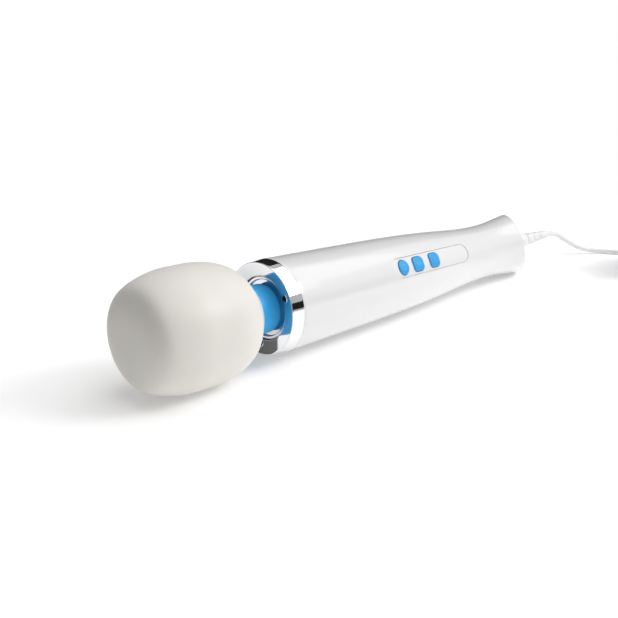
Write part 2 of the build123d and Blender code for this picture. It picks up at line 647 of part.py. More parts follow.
def cell_cradle():
    """Half tube under the cells."""
    outer = rod(CELL_START, CELL_END, CELL_R + CRADLE_WALL + FIT_GAP, 0, -CELL_DROP)
    inner = rod(CELL_START - 1, CELL_END + 1, CELL_R + FIT_GAP, 0, -CELL_DROP)
    lower = block(CELL_START - 1, CELL_END + 1, -30, 30, -40, -CELL_DROP)
    return (outer - inner) & lower


def tail_cap():
    """Slanted end cover with a round pocket for the plug and a sleeve that holds the jack."""
    room = handle_outline(HANDLE_WALL + FIT_GAP)
    cover = room - behind(room, TAIL_X - END_CAP)
    sleeve = behind(rod(POCKET_FLOOR - 4.0, TAIL_X + 30, POCKET_R + POCKET_WALL), TAIL_X) & room
    pocket = rod(POCKET_FLOOR, TAIL_X + 40, POCKET_R)
    return cover + sleeve - pocket - rod(POCKET_FLOOR - 8.0, POCKET_FLOOR + 1.0, JACK_R + FIT_GAP)


def charge_jack():
    """Round socket with a bore for the plug's barrel and a centre pin."""
    body = rod(JACK_FRONT, POCKET_FLOOR, JACK_R)
    deepest = POCKET_FLOOR - BARREL_LENGTH - 0.5
    bore = tube(deepest, POCKET_FLOOR + 1, BARREL_R + FIT_GAP, BARREL_R - BARREL_WALL - 0.5)
    flange = tube(JACK_FRONT, JACK_FRONT + 2.0, JACK_R + 1.6, JACK_R - 1.0)
    return body + flange - bore


nodes["front_cell"] = (HANDLE_BODY, cell(0))
nodes["rear_cell"] = (HANDLE_BODY, cell(1))
nodes["cell_cradle"] = (HANDLE_BODY, cell_cradle())
nodes["tail_cap"] = (HANDLE_BODY, tail_cap())
nodes["charge_jack"] = (HANDLE_BODY, charge_jack())


# ---- plug ------------------------------------------------------------------------------------------
def plug_body():
    """Moulded plug, lightly tapered, with grip ribs."""
    x0 = POCKET_FLOOR + SEAL_GAP
    corners = [(x0, 0), (x0, PLUG_R - 0.6), (x0 + 0.6, PLUG_R)]
    for i in range(4):
        x = PLUG_BACK - 12.0 + i * 2.6
        corners += [(x, PLUG_R), (x + 0.4, PLUG_R - 0.4), (x + 1.2, PLUG_R - 0.4), (x + 1.6, PLUG_R)]
    corners += [(PLUG_BACK - 1.0, PLUG_R - 0.2), (PLUG_BACK, PLUG_R - 0.8), (PLUG_BACK, 0)]
    return turned(*corners)


def plug_barrel():
    """Hollow metal barrel of the plug."""
    x1 = POCKET_FLOOR + SEAL_GAP
    return tube(x1 - BARREL_LENGTH, x1, BARREL_R, BARREL_R - BARREL_WALL)


def strain_relief(x0, x1, r0, r1, rings):
    """Tapered sleeve cut by ring grooves, round the axis."""
    def radius(x):
        return r0 + (r1 - r0) * (x - x0) / (x1 - x0)

    corners = [(x0, 0), (x0, r0)]
    step = (x1 - x0 - 6.0) / rings
    for i in range(rings):
        x = x0 + 3.0 + i * step
        corners += [(x, radius(x)), (x + 0.3, radius(x) - 0.7), (x + 1.3, radius(x + 1) - 0.7),
                    (x + 1.6, radius(x + 1.6))]
    corners += [(x1, r1), (x1, 0)]
    return turned(*corners)


nodes["plug_body"] = ("cord", plug_body())
nodes["plug_barrel"] = ("cord", plug_barrel())
nodes["plug_relief"] = ("cord", strain_relief(PLUG_BACK, RELIEF_BACK, PLUG_R - 1.0, RELIEF_END_R, 6))


# ---- laying the wand down --------------------------------------------------------------------------
def laid(tilt):
    """Roll that turns the buttons to the front, then the tilt that lowers the tail."""
    return Rot(0, tilt, 0) * Rot(ROLL, 0, 0)


def resting_tilt():
    """Tilt at which the head and the tail rim are equally low."""
    cap, shell = nodes["head_cap"][1], nodes["rear_shell"][1]

    def head_above_tail(tilt):
        return (laid(tilt) * cap).bounding_box().min.Z - (laid(tilt) * shell).bounding_box().min.Z

    low, high = 0.5, 3.5
    for _ in range(16):
        middle = (low + high) / 2
        low, high = (middle, high) if head_above_tail(middle) < 0 else (low, middle)
    return (low + high) / 2


TILT = resting_tilt()
own = [laid(TILT) * shape for body, shape in nodes.values() if body != "cord"]
own_box = Compound(children=own).bounding_box()
middle = own_box.center()
seat = Pos(-middle.X, -middle.Y, -own_box.min.Z) * laid(TILT)
placed = {name: seat * shape for name, (body, shape) in nodes.items()}


def seated(x, y=0.0, z=0.0):
    """A point of the wand frame where the laid wand has it."""
    return (seat * Pos(x, y, z)).position


# ---- cord, coil and adapter ------------------------------------------------------------------------
def cord_tube(points, label):
    """Tube of straight runs and tangent arcs through the points, each arc as large as its runs allow."""
    spots = [Vector(*p) for p in points]
    runs = [b - a for a, b in zip(spots, spots[1:])]
    radii = []
    for before, after in zip(runs, runs[1:]):
        turn = radians(before.get_angle(after))
        radii.append(0.45 * min(before.length, after.length) / tan(turn / 2))
    path = FilletPolyline(*spots, radius=radii)
    section = Plane(origin=path @ 0, z_dir=path % 0) * Circle(CORD_R)
    made = sweep(section, path=path)
    print(f"{label}: length {path.length:.1f}, radii {[round(r, 1) for r in radii]}, "
          f"volume over section times length {made.volume / (pi * CORD_R ** 2 * path.length):.4f}")
    return made


def on_coil(turn, layer):
    """A point on the coil's outer column, turn in degrees from +X, in that layer counted from the lowest."""
    radius = COIL_MID_R + (COIL_COLUMNS - 1) * CORD_R
    height = TIE_THICK + CORD_R * (2 * layer + 1)
    return (COIL_AT[0] + radius * cos(radians(turn)), COIL_AT[1] + radius * sin(radians(turn)), height)


def cord_coil():
    """Outer shape of the wound length."""
    half, height = COIL_COLUMNS * CORD_R, 2 * COIL_LAYERS * CORD_R
    ring = Cylinder(COIL_MID_R + half, height) - Cylinder(COIL_MID_R - half, height + 1)
    return Pos(COIL_AT[0], COIL_AT[1], TIE_THICK + height / 2) * ring


def coil_tie():
    """Strap round the coil's turns, on the side towards the wand."""
    half, height = COIL_COLUMNS * CORD_R, 2 * COIL_LAYERS * CORD_R
    strap = Box(TIE_WIDTH, 2 * (half + TIE_THICK), height + 2 * TIE_THICK)
    return Pos(COIL_AT[0], COIL_AT[1] + COIL_MID_R, TIE_THICK + height / 2) * strap - cord_coil()


def on_adapter(shape):
    """Puts a shape made about the adapter's centre where the adapter lies, on the coil, turned half round."""
    return Pos(ADAPTER_AT[0], ADAPTER_AT[1], ADAPTER_Z) * Rot(0, 0, 180) * shape


def adapter_shell(upper):
    """Half of the adapter's rounded case, hollow, with the cord and blade holes."""
    length, width, height = ADAPTER
    case = fillet(Box(length, width, height).edges(), ADAPTER_EDGE)
    hollow = Box(*(side - 2 * ADAPTER_WALL for side in ADAPTER))
    half = Pos(0, 0, height / 2 if upper else -height / 2) * Box(2 * length, 2 * width, height)
    cord_hole = rod(0, length, ADAPTER_RELIEF_R - 1.2)
    blade_holes = [Pos(-length / 2, y, 0) * Box(8, BLADE[1] + 2 * FIT_GAP, BLADE[2] + 2 * FIT_GAP)
                   for y in (-BLADE_SPACING / 2, BLADE_SPACING / 2)]
    return on_adapter((case - hollow - cord_hole - blade_holes) & half)


def adapter_blades():
    """Two flat blades with a hole near each tip, held in the case."""
    length, thick, width = BLADE
    made = []
    for y in (-BLADE_SPACING / 2, BLADE_SPACING / 2):
        tang = 7.0
        blade = Box(length + tang, thick, width)
        hole = Pos(-length / 2, 0, 0) * Rot(90, 0, 0) * Cylinder(1.5, 4)
        made.append(on_adapter(Pos(-(ADAPTER[0] + length - tang) / 2, y, 0) * (blade - hole)))
    return Compound(children=made)


def adapter_board():
    """Transformer block on the adapter's board."""
    length, width, height = (side - 2 * ADAPTER_WALL for side in ADAPTER)
    board = Pos(4, 0, -height / 2 + 2.8) * Box(length - 12, width - 2, 1.6)
    block_height = height - 7.0
    transformer = Pos(6, 0, -height / 2 + 3.6 + block_height / 2) * Box(24, 20, block_height)
    return on_adapter(board + transformer)


relief_tip = ADAPTER_AT[0] - ADAPTER[0] / 2 - ADAPTER_RELIEF
relief_shape = strain_relief(0, ADAPTER_RELIEF, ADAPTER_RELIEF_R, RELIEF_END_R, 4)
relief_root = rod(-ADAPTER_WALL - 1.0, 0.5, ADAPTER_RELIEF_R - 1.3)
placed["cord_run"] = cord_tube([tuple(seated(RELIEF_BACK)), *CORD_TO_COIL, on_coil(0, 0)], "cord run")
placed["cord_coil"] = cord_coil()
placed["coil_tie"] = coil_tie()
placed["cord_tail"] = cord_tube(
    [on_coil(-90, COIL_LAYERS - 1), *CORD_TO_ADAPTER, (relief_tip, ADAPTER_AT[1], ADAPTER_Z)], "cord tail")
placed["adapter_relief"] = on_adapter(Pos(ADAPTER[0] / 2, 0, 0) * (relief_shape + relief_root))
placed["adapter_top"] = adapter_shell(True)
placed["adapter_base"] = adapter_shell(False)
placed["adapter_blades"] = adapter_blades()
placed["adapter_board"] = adapter_board()

if __name__ == "__main__":
    os.makedirs("parts", exist_ok=True)
    for name, shape in placed.items():
        export_step(shape, f"parts/{name}.step")
    for label, spot in (("collar centre", (0, 0, 0)), ("plug end", (RELIEF_BACK, 0, 0)),
                        ("neck pivot", (NECK_PIVOT, 0, 0)), ("above the pivot", (NECK_PIVOT, 0, 1000))):
        at = seated(*spot)
        print(f"{label}: {at.X:.4f} {at.Y:.4f} {at.Z:.4f}")
    print(f"tilt {TILT:.5f}, size {own_box.size}")
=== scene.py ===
"""Looks of a rechargeable handheld wand massager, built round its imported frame.

Sizes are in millimetres. A piece of the wand is drawn in the wand's own frame: +X along the axis from the
head to the tail with x = 0 at the front of the collar, and +Z the way the buttons face. The charging lead is
drawn on the surface that the wand lies on. WandFrame turns both into metres in the shared frame.
"""

import json
import logging
import math
from dataclasses import dataclass
from enum import Enum
from functools import lru_cache
from typing import Any, Callable, Sequence

import bmesh
import bpy
import numpy as np
from mathutils import Matrix, Vector


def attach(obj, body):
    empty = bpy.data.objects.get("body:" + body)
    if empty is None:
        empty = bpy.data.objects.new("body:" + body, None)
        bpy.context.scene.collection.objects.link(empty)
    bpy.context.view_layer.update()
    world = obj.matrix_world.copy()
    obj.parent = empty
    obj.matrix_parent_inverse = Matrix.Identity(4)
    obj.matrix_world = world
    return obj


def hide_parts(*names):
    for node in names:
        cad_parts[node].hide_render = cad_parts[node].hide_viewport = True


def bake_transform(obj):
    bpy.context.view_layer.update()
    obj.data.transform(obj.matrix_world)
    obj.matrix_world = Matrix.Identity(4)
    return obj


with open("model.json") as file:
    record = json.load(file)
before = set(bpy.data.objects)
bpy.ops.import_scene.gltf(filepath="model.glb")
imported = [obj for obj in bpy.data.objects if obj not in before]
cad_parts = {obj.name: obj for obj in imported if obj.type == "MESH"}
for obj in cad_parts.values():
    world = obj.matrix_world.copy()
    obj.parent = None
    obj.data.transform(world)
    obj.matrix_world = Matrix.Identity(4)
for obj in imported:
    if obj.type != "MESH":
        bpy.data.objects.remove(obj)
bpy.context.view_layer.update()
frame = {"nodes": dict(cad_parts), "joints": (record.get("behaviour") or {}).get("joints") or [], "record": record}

MM = 0.001
NECK_PIVOT = -3.0

Point2 = tuple[float, float]
Point3 = tuple[float, float, float]
Color = tuple[float, float, float]
log = logging.getLogger("wand")


# ---- frames ----------------------------------------------------------------------------------------
@dataclass(frozen=True)
class WandFrame:
    """Where the laid wand's own axes are in the shared frame.

    Attributes:
        origin: Centre of the collar's front, in metres.
        along: Direction of the wand's +X.
        across: Direction of the wand's +Y.
        out: Direction of the wand's +Z, the way the buttons face.
    """

    origin: Vector
    along: Vector
    across: Vector
    out: Vector

    @classmethod
    def from_joints(cls) -> "WandFrame":
        """Finds the axes from the joints of the motor, the power button and the neck.

        Returns:
            The wand's frame.
        """
        joints = {joint["name"]: joint for joint in frame["joints"]}
        along = Vector(joints["motor_spin"]["axis"]).normalized()
        out = -Vector(joints["power_button_press"]["axis"]).normalized()
        origin = Vector(joints["neck_nod"]["pos_m"]) - along * NECK_PIVOT * MM
        return cls(origin, along, out.cross(along), out)

    def at(self, x: float, y: float = 0.0, z: float = 0.0) -> Vector:
        """Point of the wand in the shared frame, in metres."""
        return self.origin + (self.along * x + self.across * y + self.out * z) * MM

    def measure(self, node: str) -> "Extent":
        """Measures a CAD node along the wand's axes.

        Args:
            node: Name of the CAD node.

        Returns:
            Its extent in the wand's frame, in millimetres.
        """
        points = np.array([v.co for v in frame["nodes"][node].data.vertices]) - np.array(self.origin)
        axes = np.array([self.along, self.across, self.out]).T
        local = points @ axes / MM
        reach = np.hypot(local[:, 1], local[:, 2])
        front, back = float(local[:, 0].min()), float(local[:, 0].max())
        return Extent(front, back, radius=float(reach.max()), bore=float(reach.min()))


@dataclass(frozen=True)
class Extent:
    """What a node takes along and round the axis: its ends, and its largest and smallest radius."""

    front: float
    back: float
    radius: float
    bore: float

    @property
    def middle(self) -> float:
        """Place halfway along it."""
        return (self.front + self.back) / 2


def on_ground(x: float, y: float, z: float) -> Vector:
    """Point given in millimetres of the shared frame, in metres."""
    return Vector((x, y, z)) * MM


# ---- shader writing --------------------------------------------------------------------------------
class Term:
    """A number given by a shader node. Plain arithmetic on it adds the Math nodes."""

    def __init__(self, shader: "Shader", socket: bpy.types.NodeSocket) -> None:
        """Wraps one output socket."""
        self.shader = shader
        self.socket = socket

    def _math(self, operation: str, *terms: Any) -> "Term":
        """Adds a Math node.

        Args:
            operation: Blender's name for the operation.
            terms: The numbers or terms it works on, in order.

        Returns:
            The result.
        """
        node = self.shader.node("ShaderNodeMath", {"operation": operation}, dict(enumerate(terms)))
        return Term(self.shader, node.outputs[0])

    def __add__(self, other: Any) -> "Term":
        """Sum."""
        return self._math("ADD", self, other)

    def __radd__(self, other: Any) -> "Term":
        """Sum, reflected."""
        return self._math("ADD", other, self)

    def __sub__(self, other: Any) -> "Term":
        """Difference."""
        return self._math("SUBTRACT", self, other)

    def __rsub__(self, other: Any) -> "Term":
        """Difference, reflected."""
        return self._math("SUBTRACT", other, self)

    def __mul__(self, other: Any) -> "Term":
        """Product."""
        return self._math("MULTIPLY", self, other)

    def __rmul__(self, other: Any) -> "Term":
        """Product, reflected."""
        return self._math("MULTIPLY", other, self)

    def between(self, low: float, high: float) -> "Term":
        """Smooth step from 0 at low to 1 at high.

        Args:
            low: Where the step starts.
            high: Where it ends.

        Returns:
            The share, from 0 to 1.
        """
        settings = {"interpolation_type": "SMOOTHSTEP"}
        inputs = {"Value": self, "From Min": low, "From Max": high}
        node = self.shader.node("ShaderNodeMapRange", settings, inputs)
        return Term(self.shader, node.outputs["Result"])


class Shader:
    """The node tree of one material or of the world."""

    def __init__(self, owner: Any) -> None:
        """Starts an empty tree on a material or a world."""
        owner.use_nodes = True
        self.tree = owner.node_tree
        self.tree.nodes.clear()

    def node(self, kind: str, settings: dict[str, Any] | None = None,
             inputs: dict[Any, Any] | None = None) -> Any:
        """Adds a node, sets it up and fills its sockets.

        Args:
            kind: Blender's type name of the node.
            settings: The node's own properties.
            inputs: Values, terms or sockets by socket name or number.

        Returns:
            The node.
        """
        made = self.tree.nodes.new(kind)
        for key, value in (settings or {}).items():
            setattr(made, key, value)
        for key, value in (inputs or {}).items():
            value = value.socket if isinstance(value, Term) else value
            if isinstance(value, bpy.types.NodeSocket):
                self.tree.links.new(value, made.inputs[key])
            else:
                made.inputs[key].default_value = value
        return made

    def place(self) -> bpy.types.NodeSocket:
        """Coordinates of the surface in the shared frame, in metres."""
        return self.node("ShaderNodeTexCoord").outputs["Object"]

    def stretched(self, scale: Point3) -> bpy.types.NodeSocket:
        """Those coordinates, multiplied along each axis.

        Args:
            scale: The factor for each axis.

        Returns:
            The stretched coordinates.
        """
        settings = {"operation": "MULTIPLY"}
        node = self.node("ShaderNodeVectorMath", settings, {0: self.place(), 1: Vector(scale)})
        return node.outputs["Vector"]

    def noise(self, size: float, detail: float = 2.0, where: bpy.types.NodeSocket | None = None) -> Term:
        """Cloudy noise.

        Args:
            size: Width of its clouds in metres.
            detail: Number of finer layers.
            where: Coordinates, if not the plain ones.

        Returns:
            A term from 0 to 1.
        """
        inputs = {"Vector": where or self.place(), "Scale": 1 / size, "Detail": detail, "Roughness": 0.55}
        return Term(self, self.node("ShaderNodeTexNoise", None, inputs).outputs[0])

    def dot(self, way: bpy.types.NodeSocket, axis: Vector) -> Term:
        """How far a direction goes along an axis."""
        node = self.node("ShaderNodeVectorMath", {"operation": "DOT_PRODUCT"}, {0: way, 1: axis})
        return Term(self, node.outputs["Value"])

    def mix(self, factor: Term | float, first: Color, second: Color) -> bpy.types.NodeSocket:
        """Mixes two colours.

        Args:
            factor: Share of the second.
            first: Colour at 0.
            second: Colour at 1.

        Returns:
            The colour's socket.
        """
        inputs = {0: factor, 6: (*first, 1.0), 7: (*second, 1.0)}
        return self.node("ShaderNodeMix", {"data_type": "RGBA"}, inputs).outputs[2]


class Grain(Enum):
    """What the small relief of a surface is like."""

    SATIN = "fine even frosting from the mould"
    PEEL = "faint waviness of moulded gloss"
    BRUSHED = "fine straight lines"
    SPARKED = "pitted moulding texture"
    WOVEN = "hooks and loops of a strap"


@dataclass(frozen=True)
class Finish:
    """One finish: its colour, its shine and its small relief.

    Attributes:
        slot: The record's material slot that it belongs to.
        color: Main colour, linear.
        roughness: Middle roughness.
        grain: Kind of small relief.
        grain_size: Width of that relief in metres.
        grain_height: Height of that relief in metres.
        drift: How far the colour wanders, as a share of it.
        smear: How far the roughness wanders.
        metallic: 1 for bare metal.
        coat: Weight of a clear coat.
        specular: Strength of the plain reflection.
        subsurface: Weight of light that goes into the surface.
        glow: Colour that light takes inside, as the radius of each channel in metres.
        sheen: Weight of soft dusty sheen.
        light: Strength of its own light.
        fade: Distance from the wand, in metres, from which it thins out to nothing over as much again.
    """

    slot: str
    color: Color
    roughness: float
    grain: Grain
    grain_size: float
    grain_height: float
    drift: float = 0.03
    smear: float = 0.04
    metallic: float = 0.0
    coat: float = 0.0
    specular: float = 0.5
    subsurface: float = 0.0
    glow: Point3 = (0.002, 0.0015, 0.001)
    sheen: float = 0.0
    light: float = 0.0
    fade: float = 0.0

    def material(self) -> bpy.types.Material:
        """The Blender material of this finish, made once."""
        return made_material(self)

    def relief(self, shader: Shader) -> Term:
        """Height of the small relief.

        Args:
            shader: The tree that it is added to.

        Returns:
            A term from 0 to 1.
        """
        if self.grain is Grain.BRUSHED:
            return shader.noise(self.grain_size, 3.0, shader.stretched((0.04, 1.0, 1.0)))
        if self.grain is Grain.SPARKED:
            cells = {"Vector": shader.place(), "Scale": 1 / self.grain_size}
            pits = Term(shader, shader.node("ShaderNodeTexVoronoi", None, cells).outputs["Distance"])
            return pits * 0.6 + shader.noise(self.grain_size * 2, 3.0) * 0.4
        if self.grain is Grain.WOVEN:
            waves = [self._ribs(shader, axis) for axis in ("X", "Z")]
            return waves[0] * waves[1] * 0.7 + shader.noise(self.grain_size / 3, 4.0) * 0.3
        if self.grain is Grain.PEEL:
            return shader.noise(self.grain_size, 1.0) * 0.8 + shader.noise(self.grain_size / 12, 2.0) * 0.2
        return shader.noise(self.grain_size, 4.0)

    def _ribs(self, shader: Shader, axis: str) -> Term:
        """Even ribs across one axis.

        Args:
            shader: The tree that they are added to.
            axis: X, Y or Z.

        Returns:
            Their height, from 0 to 1.
        """
        settings = {"wave_type": "BANDS", "bands_direction": axis}
        inputs = {"Vector": shader.place(), "Scale": 0.3 / self.grain_size, "Distortion": 0.6}
        return Term(shader, shader.node("ShaderNodeTexWave", settings, inputs).outputs["Fac"])


CLOUD_SIZE = 0.025
SMEAR_SIZE = 0.008
COAT_ROUGHNESS = 0.06
WHITE = (1.0, 1.0, 1.0, 1.0)


@lru_cache(maxsize=None)
def made_material(finish: Finish) -> bpy.types.Material:
    """Builds the material of a finish.

    Args:
        finish: What it should look like.

    Returns:
        The material.
    """
    material = bpy.data.materials.new(finish.slot)
    shader = Shader(material)
    clouds = shader.noise(CLOUD_SIZE, 3.0).between(0.3, 0.7)
    relief = finish.relief(shader)
    shade = tuple(channel * (1 - finish.drift) for channel in finish.color)
    light = tuple(min(1.0, channel * (1 + finish.drift)) for channel in finish.color)
    smears = shader.noise(SMEAR_SIZE, 4.0).between(0.25, 0.75)
    roughness = smears * (2 * finish.smear) + (finish.roughness - finish.smear)
    bump_inputs = {"Height": relief, "Strength": 1.0, "Distance": finish.grain_height}
    bump = shader.node("ShaderNodeBump", None, bump_inputs)
    surface = shader.node("ShaderNodeBsdfPrincipled", None, {
        "Base Color": shader.mix(clouds * 0.6 + relief * 0.4, shade, light),
        "Roughness": roughness,
        "Metallic": finish.metallic,
        "Coat Weight": finish.coat,
        "Coat Roughness": COAT_ROUGHNESS,
        "Specular IOR Level": finish.specular,
        "Subsurface Weight": finish.subsurface,
        "Subsurface Radius": Vector(finish.glow) / max(finish.glow),
        "Subsurface Scale": max(finish.glow),
        "Sheen Weight": finish.sheen,
        "Emission Color": WHITE,
        "Emission Strength": finish.light,
        "Normal": bump.outputs["Normal"],
    })
    if finish.fade:
        away = shader.node("ShaderNodeVectorMath", {"operation": "LENGTH"}, {0: shader.place()})
        thin = Term(shader, away.outputs["Value"]).between(finish.fade, 2 * finish.fade)
        shader.tree.links.new((1 - thin).socket, surface.inputs["Alpha"])
    shader.node("ShaderNodeOutputMaterial", None, {"Surface": surface.outputs[0]})
    return material


SOFT_CREAM = Finish("silicone_cream", (0.76, 0.735, 0.69), 0.46, Grain.SATIN, 0.0005, 0.000012,
                    drift=0.015, specular=0.42, subsurface=0.25, glow=(0.0035, 0.0028, 0.002), sheen=0.06)
SOFT_BLUE = Finish("silicone_blue", (0.026, 0.35, 0.74), 0.36, Grain.SATIN, 0.0004, 0.00001,
                   drift=0.03, subsurface=0.12, glow=(0.0006, 0.001, 0.0016))
# Same silicone as SOFT_BLUE, painted lighter on the boot to offset the shade that the head casts on the neck.
BOOT_BLUE_PAINTED_LIGHTER = Finish("silicone_blue", (0.035, 0.45, 0.95), 0.36, Grain.SATIN, 0.0004, 0.00001,
                   drift=0.03, subsurface=0.12, glow=(0.0006, 0.001, 0.0016))
MARK_BLUE = Finish("silicone_blue", (0.10, 0.47, 0.80), 0.42, Grain.SATIN, 0.0003, 0.000006)
GLOSS_WHITE = Finish("handle_white", (0.79, 0.78, 0.785), 0.17, Grain.PEEL, 0.009, 0.000012,
                     drift=0.008, smear=0.03, coat=0.35, specular=0.55, subsurface=0.08)
PANEL_WHITE = Finish("handle_white", (0.79, 0.785, 0.795), 0.24, Grain.PEEL, 0.006, 0.000008,
                     drift=0.008, smear=0.03, coat=0.2)
CHROME = Finish("collar_chrome", (0.83, 0.835, 0.85), 0.045, Grain.PEEL, 0.006, 0.000003,
                drift=0.01, smear=0.02, metallic=1.0)
CORE = Finish("core_plastic", (0.62, 0.62, 0.60), 0.5, Grain.SPARKED, 0.0007, 0.00004)
STEEL = Finish("steel", (0.56, 0.56, 0.58), 0.3, Grain.BRUSHED, 0.0003, 0.00001, metallic=1.0)
BLACK_OXIDE = Finish("screw_black", (0.035, 0.035, 0.04), 0.34, Grain.BRUSHED, 0.0003, 0.00001, metallic=0.9)
FERRITE = Finish("magnet", (0.06, 0.06, 0.065), 0.55, Grain.SPARKED, 0.0004, 0.00003)
BRONZE = Finish("bronze", (0.55, 0.36, 0.16), 0.42, Grain.SPARKED, 0.0003, 0.00002, metallic=1.0)
COPPER = Finish("copper", (0.72, 0.33, 0.15), 0.3, Grain.BRUSHED, 0.0005, 0.00004, metallic=1.0, drift=0.1)
BLACK_RUBBER = Finish("black_rubber", (0.025, 0.025, 0.026), 0.62, Grain.SATIN, 0.0004, 0.00002)
GREEN_BOARD = Finish("board_green", (0.01, 0.10, 0.035), 0.38, Grain.SPARKED, 0.0006, 0.00002, drift=0.12)
BRIGHT_METAL = Finish("dome_metal", (0.68, 0.68, 0.70), 0.2, Grain.BRUSHED, 0.0003, 0.000006, metallic=1.0)
CELL_WRAP = Finish("cell_wrap", (0.03, 0.10, 0.30), 0.3, Grain.PEEL, 0.004, 0.00003, drift=0.05)
LEAD_WHITE = Finish("lead_white", (0.80, 0.80, 0.80), 0.4, Grain.SATIN, 0.0005, 0.00001,
                    drift=0.015, subsurface=0.1)
TIE_WHITE = Finish("tie_white", (0.62, 0.62, 0.62), 0.85, Grain.WOVEN, 0.0009, 0.00025,
                   drift=0.2, sheen=0.4, specular=0.2)
ADAPTER_WHITE = Finish("adapter_white", (0.78, 0.78, 0.78), 0.42, Grain.SPARKED, 0.0006, 0.00003, drift=0.02)
FLOOR = Finish("floor", (0.93, 0.93, 0.93), 0.7, Grain.SATIN, 0.01, 0.00001,
               drift=0.003, specular=0.15, light=0.2, fade=0.3)


# ---- lines and outlines ----------------------------------------------------------------------------
def smooth_line(points: Sequence[Point2], steps: int, start: Point2 | None = None,
                end: Point2 | None = None) -> list[Point2]:
    """Line of continuous curvature through points.

    Args:
        points: What it goes through, in order.
        steps: How many pieces each stretch between two points gets.
        start: Direction at the first point, if it is set.
        end: Direction at the last point, if it is set.

    Returns:
        Points along the line.
    """
    spots = np.array(points, float)
    gaps = np.linalg.norm(np.diff(spots, axis=0), axis=1)
    count = len(spots)
    matrix, known = np.zeros((count, count)), np.zeros((count, 2))
    for i in range(1, count - 1):
        before, after = gaps[i - 1], gaps[i]
        behind, ahead = spots[i] - spots[i - 1], spots[i + 1] - spots[i]
        matrix[i, i - 1:i + 2] = after, 2 * (before + after), before
        known[i] = 3 * (after / before * behind + before / after * ahead)
    for i, inner, gap, way in ((0, 1, gaps[0], start), (-1, -2, gaps[-1], end)):
        if way is None:
            matrix[i, i], matrix[i, inner] = 2, 1
            known[i] = 3 * (spots[1] - spots[0] if i == 0 else spots[-1] - spots[-2]) / gap
        else:
            matrix[i, i] = 1
            known[i] = np.array(way) / np.linalg.norm(way)
    slopes = np.linalg.solve(matrix, known)
    line = [spots[0]]
    for a, b, m, n, gap in zip(spots, spots[1:], slopes, slopes[1:], gaps):
        for t in np.linspace(0, 1, steps + 1)[1:]:
            t2, t3 = t * t, t ** 3
            line.append((2 * t3 - 3 * t2 + 1) * a + (t3 - 2 * t2 + t) * gap * m
                        + (3 * t2 - 2 * t3) * b + (t3 - t2) * gap * n)
    return [(float(p[0]), float(p[1])) for p in line]


def rounded(corners: Sequence[Point3], steps: int = 4) -> list[Point2]:
    """Open outline whose corners are rounded.

    Args:
        corners: Each corner as (x, r, how far before and after it the rounding starts).
        steps: Pieces in each rounding.

    Returns:
        Points along the outline.
    """
    line: list[Point2] = []
    for i, (x, r, reach) in enumerate(corners):
        here = Vector((x, r))
        if reach == 0 or i in (0, len(corners) - 1):
            line.append((x, r))
            continue
        before = (Vector(corners[i - 1][:2]) - here).normalized() * reach + here
        after = (Vector(corners[i + 1][:2]) - here).normalized() * reach + here
        for j in range(steps + 1):
            t = j / steps
            spot = before * (1 - t) ** 2 + here * 2 * t * (1 - t) + after * t ** 2
            line.append((spot.x, spot.y))
    return line


@dataclass(frozen=True)
class Outline:
    """Rounded rectangle, or a circle or a round-ended slot when its core is a point or a line.

    Attributes:
        x: Centre along the wand.
        half_length: Half the length of its core.
        half_width: Half the width of its core.
        radius: How far the outline is from its core.
        y: Centre across the wand.
    """

    x: float
    half_length: float
    half_width: float
    radius: float
    y: float = 0.0

    def nearest(self, spot: Point2, grow: float = 0.0) -> Point2:
        """The outline's point nearest to a spot outside its core, moved outwards by grow."""
        x = self.x + min(max(spot[0] - self.x, -self.half_length), self.half_length)
        y = self.y + min(max(spot[1] - self.y, -self.half_width), self.half_width)
        away = Vector((spot[0] - x, spot[1] - y))
        away = away.normalized() * (self.radius + grow) if away.length > 0 else away
        return x + away.x, y + away.y

    def loop(self, grow: float = 0.0, per_side: int = 12) -> list[Point2]:
        """Points round the outline.

        Args:
            grow: How far they are moved outwards.
            per_side: Points for each side of the rectangle round it.

        Returns:
            The points, in order.
        """
        reach_x, reach_y = self.half_length + self.radius + 1, self.half_width + self.radius + 1
        box = self.x - reach_x, self.x + reach_x, self.y - reach_y, self.y + reach_y
        return [self.nearest(spot, grow) for spot in around(*box, per_side)]


def around(x0: float, x1: float, y0: float, y1: float, per_side: int) -> list[Point2]:
    """Points in order round a rectangle, per_side of them on each side."""
    corners = [(x0, y0), (x1, y0), (x1, y1), (x0, y1), (x0, y0)]
    spots: list[Point2] = []
    for (ax, ay), (bx, by) in zip(corners, corners[1:]):
        spots += [(ax + (bx - ax) * i / per_side, ay + (by - ay) * i / per_side) for i in range(per_side)]
    return spots


def on_circle(x: float, r: float, turn: float) -> Point3:
    """Point at x, at radius r from the X axis and turned from +Z towards +Y by an angle in radians."""
    return x, r * math.sin(turn), r * math.cos(turn)


# ---- mesh making -----------------------------------------------------------------------------------
def new_object(name: str, data: bpy.types.ID) -> bpy.types.Object:
    """Makes an object from its data and puts it into the scene."""
    made = bpy.data.objects.new(name, data)
    bpy.context.scene.collection.objects.link(made)
    return made


